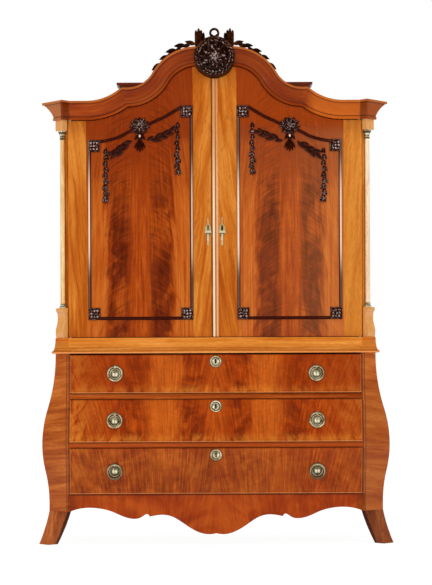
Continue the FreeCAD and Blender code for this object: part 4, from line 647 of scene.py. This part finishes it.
# Studio: pale floor, soft boxes left and right, camera
studio = {
    "fill": 1.0, "fillRight": 0.12, "fillUp": 0.12, "room": 0.05, "screens": 0.4, "aim": (0, 0, 1.35),
    "boxes": {"left": {"power": 46.0, "place": (-3.6, -6.4, 2.3), "size": (0.5, 2.4)},
              "right": {"power": 18.0, "place": (3.7, -6.4, 2.3), "size": (0.6, 2.4)}},
    "floor": {"reach": 60.0, "grey": 0.86, "rough": 0.8, "glow": 1.06, "glowShare": 0.9},
}
view = {"distance": 8.4, "height": 0.816, "lens": 107.0, "shiftUp": 0.141, "shiftSide": 0.0005, "roll": -0.24}


def setCamera():
    lens = bpy.data.cameras.new("camera")
    lens.lens = view["lens"]
    lens.sensor_width = 36.0
    lens.shift_x = view["shiftSide"]
    lens.shift_y = view["shiftUp"]
    camera = pieceOf("camera", lens)
    turn = Matrix.Rotation(math.radians(90), 4, "X") @ Matrix.Rotation(math.radians(view["roll"]), 4, "Z")
    camera.matrix_world = Matrix.Translation((0, doorFace - view["distance"], view["height"])) @ turn
    scene.camera = camera


def softBox(name, place, size, power):
    lamp = bpy.data.lights.new(name, "AREA")
    lamp.shape = "RECTANGLE"
    lamp.size, lamp.size_y = size
    lamp.energy = power
    item = pieceOf(name, lamp)
    item.location = place
    item.rotation_euler = (Vector(studio["aim"]) - Vector(place)).to_track_quat("-Z", "Y").to_euler()


def raysOf(tree, *kinds):  # 1 for a ray of any of these kinds
    path = tree.nodes.new("ShaderNodeLightPath")
    seen, *others = [Socket(tree, path.outputs[f"Is {kind} Ray"]) for kind in kinds]
    for other in others:
        seen = seen.sum("MAXIMUM", seen, other)
    return seen


def setWorld():
    world = bpy.data.worlds.new("studio")
    scene.world = world
    world.use_nodes = True
    tree = world.node_tree
    seen = raysOf(tree, "Camera", "Transmission")
    gloss = raysOf(tree, "Glossy")
    ray = Socket(tree, tree.nodes.new("ShaderNodeTexCoord").outputs["Generated"]).parts()
    sides = abs(ray[0]).rise(0.7, 0.95)  # white screens left and right, an unlit room behind the camera
    strength = seen.sum("MAXIMUM", seen, gloss * (studio["room"] + sides * studio["screens"]))
    fill = ray[0] * studio["fillRight"] + ray[2] * studio["fillUp"] + studio["fill"]
    strength = strength + (1 - seen.sum("MAXIMUM", seen, gloss)) * fill
    backdrop = tree.nodes["Background"]
    tree.links.new(strength.source, backdrop.inputs["Strength"])
    backdrop.inputs["Color"].default_value = (1, 1, 1, 1)


def setFloor():
    look = studio["floor"]
    reach, grey = look["reach"], look["grey"]
    corners = [(-reach, -reach, 0), (reach, -reach, 0), (reach, reach, 0), (-reach, reach, 0)]
    mesh = bpy.data.meshes.new("floor")
    mesh.from_pydata(corners, [], [(0, 1, 2, 3)])
    floor = pieceOf("floor", mesh)
    paper = bpy.data.materials.new("pale floor")
    paper.use_nodes = True
    tree = paper.node_tree
    shader = tree.nodes["Principled BSDF"]
    shader.inputs["Base Color"].default_value = (grey, grey, grey, 1)
    shader.inputs["Roughness"].default_value = look["rough"]
    seen = raysOf(tree, "Camera", "Glossy", "Transmission")
    glow = seen.node("ShaderNodeEmission", {}, {"Color": (1, 1, 1, 1), "Strength": look["glow"]})
    values = {0: seen * look["glowShare"], 1: Socket(tree, shader.outputs[0]), 2: glow}
    mixed = seen.node("ShaderNodeMixShader", {}, values)
    tree.links.new(mixed.source, tree.nodes["Material Output"].inputs["Surface"])
    mesh.materials.append(paper)


setCamera()
setWorld()
setFloor()
for label, lamp in studio["boxes"].items():
    softBox(f"soft box {label}", lamp["place"], lamp["size"], lamp["power"])
print("studio set")


# Carved shapes as points and faces
def loft(rings):  # closed rings, or a single point at either end
    points = []
    faces = []
    starts = []
    for ring in rings:
        starts.append(len(points))
        points += ring
    for number in range(len(rings) - 1):
        here, there = starts[number], starts[number + 1]
        few, many = len(rings[number]), len(rings[number + 1])
        for step in range(max(few, many)):
            after = (step + 1) % max(few, many)
            if few == 1:
                faces.append((here, there + after, there + step))
            elif many == 1:
                faces.append((here + step, here + after, there))
            else:
                faces.append((here + step, here + after, there + after, there + step))
    if len(rings[0]) > 2:
        faces.append(tuple(reversed(range(len(rings[0])))))
    if len(rings[-1]) > 2:
        faces.append(tuple(range(starts[-1], starts[-1] + len(rings[-1]))))
    return points, faces


def moved(shape, matrix):
    return [matrix @ point for point in shape[0]], shape[1]


def joined(shapes):
    points = []
    faces = []
    for some, around in shapes:
        faces += [tuple(index + len(points) for index in face) for face in around]
        points += some
    return points, faces


def meshOf(name, shape, angle=40.0):
    mesh = bpy.data.meshes.new(name)
    mesh.from_pydata([tuple(point) for point in shape[0]], [], shape[1])
    work = bmesh.new()
    work.from_mesh(mesh)
    bmesh.ops.remove_doubles(work, verts=work.verts, dist=0.00001)
    bmesh.ops.recalc_face_normals(work, faces=work.faces)
    for face in work.faces:
        face.smooth = True
    work.to_mesh(mesh)
    work.free()
    mesh.set_sharp_from_angle(angle=math.radians(angle))
    return mesh


def settle(name, mesh, body, slot, wood, *stoodFor):
    piece = pieceOf(name, mesh)
    mesh.materials.clear()
    mesh.materials.append(wood)
    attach(piece, body)
    if stoodFor:
        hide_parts(*stoodFor)


def spun(turn, place=(0, 0, 0)):  # turned round local z, then moved
    return Matrix.Translation(place) @ Matrix.Rotation(math.radians(turn), 4, "Z")


def onDoor(x, z, out=0.0, turn=0.0):  # local x and y lie on the door face, local z points out of it
    return Matrix(((1, 0, 0, x), (0, 0, -1, doorFace - out), (0, 1, 0, z), (0, 0, 0, 1))) @ spun(turn)


def roundSpots(radius, steps):  # x and y round a circle
    angles = [2 * math.pi * step / steps for step in range(steps)]
    return [(radius * math.cos(angle), radius * math.sin(angle)) for angle in angles]


def leafShape(length, width, height, curl=0.0):  # along local x, with a rib and two hollows
    stations = 6
    rings = [[Vector((0, 0, height * 0.3))]]
    for number in range(1, stations):
        share = number / stations
        half = width / 2 * math.sin(math.pi * share ** 0.85)
        rib = height * (0.5 + 0.5 * math.sin(math.pi * share))
        lift = curl * share * share
        spots = ((half, 0.3), (half * 0.5, 0.42), (0, 1), (-half * 0.5, 0.42), (-half, 0.3))
        ring = [Vector((length * share, y, lift + rib * up)) for y, up in spots]
        rings.append(ring + [Vector((length * share, 0, 0))])
    rings.append([Vector((length, 0, curl))])
    return loft(rings)


def turnedShape(profile, steps):  # profile as radius and height, turned round local z
    rings = []
    for radius, height in profile:
        if radius <= 0:
            rings.append([Vector((0, 0, height))])
            continue
        rings.append([Vector((x, y, height)) for x, y in roundSpots(radius, steps)])
    return loft(rings)


def domeShape(radius, height, steps=8):
    profile = [(radius, 0), (radius * 0.85, height * 0.5), (radius * 0.5, height * 0.86), (0, height)]
    return turnedShape(profile, steps)


def sweptShape(path, profile):  # path on the door face, profile as side and height
    rings = []
    for number, (x, z) in enumerate(path):
        before = path[max(number - 1, 0)]
        after = path[min(number + 1, len(path) - 1)]
        along = Vector((after[0] - before[0], after[1] - before[1])).normalized()
        rings.append([Vector((x - along.y * side, z + along.x * side, out)) for side, out in profile])
    return loft(rings)


# One node tree sets leaves, husks and studs along lines
def alongTree():
    tree = bpy.data.node_groups.new("set along lines", "GeometryNodeTree")
    wanted = (("Lines", "Geometry"), ("Unit", "Object"), ("Spacing", "Float"), ("Spread", "Float"),
              ("Smallest", "Float"), ("Largest", "Float"), ("Swell", "Float"), ("Seed", "Int"),
              ("Finish", "Material"))
    for label, kind in wanted:
        tree.interface.new_socket(label, in_out="INPUT", socket_type=f"NodeSocket{kind}")
    tree.interface.new_socket("Geometry", in_out="OUTPUT", socket_type="NodeSocketGeometry")
    entry = tree.nodes.new("NodeGroupInput")
    given = {label: Socket(tree, entry.outputs[label]) for label, kind in wanted}
    lines = given["Lines"].node("GeometryNodeMeshToCurve", {}, {"Mesh": given["Lines"]})
    girth = lines.node("GeometryNodeSplineParameter", {}, {}) * given["Swell"] + 1
    lines = lines.node("GeometryNodeSetCurveRadius", {}, {"Curve": lines, "Radius": girth})
    values = {"Curve": lines, "Length": given["Spacing"]}
    points = lines.node("GeometryNodeCurveToPoints", {"mode": "LENGTH"}, values)
    tangent = Socket(tree, points.source.node.outputs["Tangent"])
    turn = tangent.node("FunctionNodeAlignRotationToVector", {"axis": "X"}, {"Vector": tangent})
    settings = {"axis": "Z", "pivot_axis": "X"}
    turn = turn.node("FunctionNodeAlignRotationToVector", settings, {"Rotation": turn, "Vector": (0, -1, 0)})
    count = points.node("GeometryNodeInputIndex", {}, {})
    swing = (count.sum("MODULO", count, 2.0) * 2 - 1) * given["Spread"]
    lean = swing.node("FunctionNodeAxisAngleToRotation", {}, {"Axis": (0, 0, 1), "Angle": swing})
    values = {"Rotation": turn, "Rotate By": lean}
    turn = turn.node("FunctionNodeRotateRotation", {"rotation_space": "LOCAL"}, values)
    values = {2: given["Smallest"], 3: given["Largest"], 8: given["Seed"]}
    size = count.node("FunctionNodeRandomValue", {"data_type": "FLOAT"}, values, 1)
    size = size * points.node("GeometryNodeInputRadius", {}, {})
    unit = given["Unit"].node("GeometryNodeObjectInfo", {}, {"Object": given["Unit"]}, 4)
    values = {"Points": points, "Instance": unit, "Rotation": turn, "Scale": size}
    crowd = points.node("GeometryNodeInstanceOnPoints", {}, values)
    plain = crowd.node("GeometryNodeRealizeInstances", {}, {0: crowd})
    dressed = plain.node("GeometryNodeSetMaterial", {}, {"Geometry": plain, "Material": given["Finish"]})
    tree.links.new(dressed.source, tree.nodes.new("NodeGroupOutput").inputs[0])
    return tree


setAlong = alongTree()


def grown(name, body, lines, unit, look, *stoodFor):
    points = []
    edges = []
    for line in lines:
        edges += [(len(points) + step, len(points) + step + 1) for step in range(len(line) - 1)]
        points += [tuple(point) for point in line]
    wire = bpy.data.meshes.new(f"{name} lines")
    wire.from_pydata(points, edges, [])
    holder = pieceOf(f"{name} holder", wire)
    model = pieceOf(f"{name} unit", meshOf(f"{name} unit", unit))
    modifier = holder.modifiers.new("set along", "NODES")
    modifier.node_group = setAlong
    smallest, largest = look["sizes"]
    given = {"Unit": model, "Spacing": look["spacing"], "Spread": math.radians(look["spread"]),
             "Smallest": smallest, "Largest": largest, "Swell": look.get("swell", 0.0), "Seed": look["seed"],
             "Finish": darkCarving}
    for item in setAlong.interface.items_tree:
        if item.in_out == "INPUT" and item.name in given:
            modifier[item.identifier] = given[item.name]
    graph = bpy.context.evaluated_depsgraph_get()
    mesh = bpy.data.meshes.new_from_object(holder.evaluated_get(graph), depsgraph=graph)
    for helper in (holder, model):
        bpy.data.objects.remove(helper)
    settle(name, mesh, body, "dark_carving", darkCarving, *stoodFor)


def smoothLine(corners, steps=8):  # points of a soft curve through corners
    line = []
    for number in range(len(corners) - 1):
        before = corners[max(number - 1, 0)]
        here, there = corners[number], corners[number + 1]
        after = corners[min(number + 2, len(corners) - 1)]
        for step in range(steps):
            t = step / steps
            spot = []
            for a, b, c, d in zip(before, here, there, after):
                spot.append(0.5 * (2 * b + (c - a) * t + (2 * a - 5 * b + 4 * c - d) * t * t
                                   + (3 * b - a - 3 * c + d) * t ** 3))
            line.append(tuple(spot))
    return line + [tuple(corners[-1])]


# Doors: bead frame, corner blocks, rosette, garlands
doorCarving = {
    "bead": 0.007, "outer": 0.606, "inner": 0.1135, "low": 1.091, "inset": 0.022, "half": 0.029,
    "outerBlock": 1.924, "innerBlock": 2.089,
    "arch": ((0.557, 1.9445), (0.51, 1.953), (0.461, 1.968), (0.418, 1.99), (0.365, 2.014), (0.33, 2.023),
             (0.287, 2.043), (0.239, 2.065), (0.2, 2.088), (0.163, 2.1105)),
    "chains": (((0.526, 1.912), (0.528, 1.78), (0.526, 1.686)), ((0.18, 2.036), (0.181, 1.9), (0.18, 1.818))),
    "swags": (((0.398, 1.947), (0.43, 1.926), (0.456, 1.906), (0.482, 1.892)),
              ((0.33, 1.949), (0.29, 1.959), (0.25, 1.974), (0.222, 1.987))),
    "petals": ((0, 0.043), (32, 0.046), (66, 0.05), (98, 0.052), (130, 0.05), (158, 0.05)),
    "bud": ((0, -0.021), (0.006, -0.018), (0.0105, -0.007), (0.0095, 0.005), (0.004, 0.016), (0, 0.023)),
    "tassel": ((40, -0.036, 0.042), (32, -0.066, 0.052), (16, -0.069, 0.056), (0, -0.071, 0.058)),
    "stud": {"spacing": 0.01419, "spread": 0.0, "sizes": (1.0, 1.0), "seed": 3},
    "husk": {"spacing": 0.0255, "spread": 7.0, "sizes": (0.8, 0.94), "seed": 5, "swell": 0.4},
    "swag": {"spacing": 0.0165, "spread": 19.0, "sizes": (0.75, 1.1), "seed": 11},
}


def beadProfile(radius):
    flat = [(-radius * 1.12, 0), (-radius * 1.12, radius * 0.16), (-radius * 0.96, radius * 0.2)]
    crown = []
    for step in range(1, 12):
        angle = math.pi * (1 - step / 12)
        crown.append((radius * 0.96 * math.cos(angle), radius * (0.2 + 0.8 * math.sin(angle))))
    return flat + crown + [(-side, out) for side, out in reversed(flat)]


def cornerBlock(half):
    rings = []
    for less, out in ((0, 0), (0, 0.005), (0.003, 0.0075), (0.005, 0.0075), (0.007, 0.0045)):
        size = half - less
        rings.append([Vector((size * x, size * y, out)) for x, y in ((-1, -1), (1, -1), (1, 1), (-1, 1))])
    return loft(rings)


def bothWays(middle, lean):  # a leaf on each side, or one in the middle
    return (middle - lean, middle + lean) if lean else (middle,)


def rosetteShape():  # two rows of petals, a beaded eye, a bud and a tassel
    layers = []
    for lean, length in doorCarving["petals"]:
        for turn in bothWays(90, lean):
            layers.append(moved(leafShape(length, 0.03, 0.012, 0.006), spun(turn)))
    for turn in range(20, 380, 51):
        layers.append(moved(leafShape(0.034, 0.02, 0.013, 0.004), spun(turn, (0, 0, 0.006))))
    for x, y in roundSpots(0.0095, 6):
        layers.append(moved(domeShape(0.006, 0.0075), Matrix.Translation((x, y, 0.014))))
    layers.append(moved(domeShape(0.0065, 0.011), Matrix.Translation((0, 0, 0.0145))))
    bud = moved(turnedShape(doorCarving["bud"], 12), Matrix.Rotation(math.radians(-90), 4, "X"))
    layers.append(moved(bud, Matrix.Translation((0, -0.054, 0.007)) @ Matrix.Diagonal((1, 1, 0.9, 1))))
    for lean, start, length in doorCarving["tassel"]:
        for turn in bothWays(-90, lean):
            layers.append(moved(leafShape(length, 0.015, 0.009, 0.004), spun(turn, (0, start, 0.001))))
    return joined(layers)


def huskShape():  # a bud between two flared leaves, along local x
    bud = leafShape(0.034, 0.0125, 0.011)
    leaves = [moved(leafShape(0.032, 0.0125, 0.008, 0.002), spun(lean)) for lean in (-20, 20)]
    berry = moved(domeShape(0.0044, 0.008, 6), Matrix.Translation((-0.001, 0, 0.002)))
    return joined([bud, berry] + leaves)


def doorTrim(label, side):
    look = doorCarving
    body = f"door_{label}"
    outer, inner = look["outer"] - look["inset"], look["inner"] + look["inset"]
    low, half = look["low"] + look["inset"], look["half"]
    blocks = ((outer, low), (inner, low), (outer, look["outerBlock"]), (inner, look["innerBlock"]))
    runs = [((look["outer"], low + half), (look["outer"], look["outerBlock"] - half)),
            ((look["inner"], low + half), (look["inner"], look["innerBlock"] - half)),
            ((inner + half, look["low"]), (outer - half, look["low"])), smoothLine(look["arch"])]
    shapes = [moved(sweptShape(run, beadProfile(look["bead"])), onDoor(0, 0)) for run in runs]
    shapes += [moved(cornerBlock(half), onDoor(x, z)) for x, z in blocks]
    shapes.append(moved(rosetteShape(), onDoor(*carvingLook["rosette"])))
    name = f"{body}_bead_frame"
    mesh = meshOf(name, moved(joined(shapes), Matrix.Diagonal((side, 1, 1, 1))))
    settle(name, mesh, body, "dark_carving", beadCarving, f"{body}_carving")

    def lines(group, lift):
        return [[(side * x, doorFace - lift, z) for x, z in smoothLine(line)] for line in group]

    studs = []
    for x, z in blocks:
        for row in (-0.0142, 0, 0.0142):
            studs.append([(side * (x + column), doorFace - 0.0045, z + row) for column in (-0.0142, 0.0143)])
    grown(f"{body}_studs", body, studs, domeShape(0.0066, 0.008), look["stud"])
    grown(f"{body}_husk_chains", body, lines(look["chains"], 0.0), huskShape(), look["husk"])
    leaf = leafShape(0.054, 0.0205, 0.01, 0.004)
    grown(f"{body}_swags", body, lines(look["swags"], 0.001), leaf, look["swag"])


for label, side in (("left", -1), ("right", 1)):
    doorTrim(label, side)
print("door carvings made")


# Key plates: a pointed outline over the doors' locks, the bolts' staples and locks kept from the frame
plateLook = {
    "x": 0.034, "z": 1.507, "thick": 0.0024,
    "outline": ((72, 1.2), (66, 2.4), (50, 3), (38, 3.6), (34, 8), (26, 13), (14, 15), (2, 14.5), (0, 16),
                (-6, 16), (-7.5, 10), (-14, 9), (-20, 8), (-28, 6), (-40, 4.5), (-44, 3), (-48, 5),
                (-54, 5.5), (-60, 3.5), (-64, 1.6), (-70, 1)),
}


def keptParts(name):  # the node's parts that lie behind the door's face
    node = nodes[name]
    work = bmesh.new()
    work.from_mesh(node.data)
    work.transform(node.matrix_world)
    bmesh.ops.remove_doubles(work, verts=work.verts, dist=0.00001)
    waiting = set(work.verts)
    front = []
    while waiting:
        part = [waiting.pop()]
        for corner in part:
            for edge in corner.link_edges:
                other = edge.other_vert(corner)
                if other in waiting:
                    waiting.remove(other)
                    part.append(other)
        if min(corner.co.y for corner in part) < doorFace - 0.0005:
            front += part
    bmesh.ops.delete(work, geom=front, context="VERTS")
    work.verts.index_update()
    points = [corner.co.copy() for corner in work.verts]
    faces = [tuple(corner.index for corner in face.verts) for face in work.faces]
    work.free()
    return points, faces


def keyPlate(label, side):
    rings = []
    for out, grow, size in ((0, 0, 1), (0.6, 0, 1), (1, -0.0012, 0.985)):
        right = [(max(half / 1000 + grow, 0.0004), up * size / 1000) for up, half in plateLook["outline"]]
        spots = right + [(-x, z) for x, z in reversed(right)]
        rings.append([Vector((x, z, plateLook["thick"] * out)) for x, z in spots])
    plate = moved(loft(rings), onDoor(side * plateLook["x"], plateLook["z"]))
    body = f"door_{label}"
    name = f"{body}_key_plate"
    mesh = meshOf(name, joined([plate, keptParts(f"{body}_brasses")]), 25.0)
    settle(name, mesh, body, "aged_brass", agedBrass, f"{body}_brasses")


for label, side in (("left", -1), ("right", 1)):
    keyPlate(label, side)
print("key plates made")


# Crest: medallion with wreath and leaves, reed bundles, bow ring, laurel sprays
crestLook = {
    "centre": 2.35, "radius": 0.098, "out": 0.046, "wreathRadius": 0.081,
    "torchSide": 0.07, "torchLow": 2.369, "bowRadius": 0.0195, "bowCentre": 2.4635, "ribbon": 0.0055,
    "foliageRings": ((0.06, 0.011), (0.045, 0.008), (0.029, 0.005)),
    "reeds": ((-0.0165, 0.014, 0.1, 0.022, 1), (-0.0055, 0.0145, 0.113, 0.027, 0.5),
              (0.0055, 0.0145, 0.121, 0.028, 0), (0.0165, 0.014, 0.112, 0.024, -1),
              (-0.011, 0.012, 0.088, 0.031, 2), (0.011, 0.012, 0.096, 0.032, -2)),
    "sprays": ((0.088, 0.014), (0.125, 0.017), (0.165, 0.011), (0.202, 0.007), (0.236, 0.002),
               (0.258, -0.003)),
    "wreath": {"spacing": 0.0088, "spread": 28.0, "sizes": (0.85, 1.1), "seed": 7},
    "foliage": {"spacing": 0.0125, "spread": 62.0, "sizes": (0.8, 1.15), "seed": 9},
    "spray": {"spacing": 0.023, "spread": 14.0, "sizes": (0.85, 1.1), "seed": 4},
}


def medallionShape():
    radius, out = crestLook["radius"], crestLook["out"]
    profile = [(0, -0.025), (radius, -0.025), (radius, out - 0.012), (radius - 0.004, out - 0.004),
               (radius - 0.012, out - 0.002), (radius - 0.018, out - 0.008), (radius - 0.026, out - 0.014),
               (0.05, out - 0.01), (0.025, out - 0.004), (0, out - 0.002)]
    shapes = [turnedShape(profile, 48)]
    for x, y in roundSpots(0.0125, 6) + [(0, 0)]:
        shapes.append(moved(domeShape(0.0075, 0.011), Matrix.Translation((x, y, out - 0.002))))
    for turn in (-90, -62, -118, -40, -140):
        shapes.append(moved(leafShape(0.03, 0.013, 0.014), spun(turn, (0, -0.068, out - 0.01))))
    return moved(joined(shapes), onDoor(0, crestLook["centre"]))


def reedShape(width, height, deep):  # a ribbed blade along local y with a pointed tip
    rings = []
    for share, size in ((0, 0.9), (0.25, 0.98), (0.55, 1.04), (0.82, 1), (0.93, 0.74)):
        half = width / 2 * size
        right = ((half, 0), (half, deep * 0.55), (half * 0.55, deep * 0.8), (half * 0.3, deep * 0.72))
        spots = right + ((0, deep),) + tuple((-x, z) for x, z in reversed(right))
        rings.append([Vector((x, height * share, z)) for x, z in spots])
    rings.append([Vector((0, height, deep * 0.4))])
    return loft(rings)


def torchShape(side):  # a bundle of reeds
    shapes = []
    for x, width, height, deep, turn in crestLook["reeds"]:
        place = onDoor(side * (crestLook["torchSide"] + x), crestLook["torchLow"], 0.006, side * turn)
        shapes.append(moved(reedShape(width, height, deep), place))
    return joined(shapes)


def bowShape():  # a ring and two ribbon ends
    ring = [(x, crestLook["bowCentre"] + z) for x, z in roundSpots(crestLook["bowRadius"], 32)]
    half = crestLook["ribbon"]
    ribbon = [(-half, 0.0), (-half, 0.006), (0, 0.0105), (half, 0.006), (half, 0)]
    shapes = [sweptShape(ring + ring[:1], ribbon)]
    for side in (-1, 1):
        ends = ((0.017, 2.456), (0.005, 2.4475), (-0.009, 2.44), (-0.015, 2.43))
        shapes.append(sweptShape(smoothLine([(side * x, z) for x, z in ends], 6), ribbon))
    return moved(joined(shapes), onDoor(0, 0, 0.018))


def sprayLine(side):  # along the top of the cornice's arch
    high = archRound + archLook["height"]
    line = []
    for wide, up in crestLook["sprays"]:
        angle = math.asin((wide - archLook["flat"]) / high)
        reach = high + up
        x = archLook["flat"] + reach * math.sin(angle)
        line.append((side * x, doorFace - 0.016, archTop - archRound + reach * math.cos(angle)))
    return smoothLine(line)


def circleLine(radius, lift):  # round the medallion, from its top
    front = doorFace - crestLook["out"] + lift
    line = [(x, front, crestLook["centre"] + z) for z, x in roundSpots(radius, 48)]
    return line + line[:1]


shapes = [medallionShape(), torchShape(-1), torchShape(1), bowShape()]
medallion = meshOf("crest_medallion", joined(shapes))
settle("crest_medallion", medallion, "cabinet", "dark_carving", darkCarving, "crest")
wreath = [circleLine(crestLook["wreathRadius"], 0.006)]
grown("crest_wreath", "cabinet", wreath, leafShape(0.026, 0.013, 0.011, 0.002), crestLook["wreath"])
foliage = [circleLine(radius, lift) for radius, lift in crestLook["foliageRings"]]
grown("crest_foliage", "cabinet", foliage, leafShape(0.027, 0.0135, 0.014, 0.003), crestLook["foliage"])
sprays = [sprayLine(side) for side in (-1, 1)]
laurel = leafShape(0.056, 0.023, 0.01, 0.004)
grown("laurel_sprays", "cabinet", sprays, laurel, crestLook["spray"], "crest_sprays")
print("crest made")
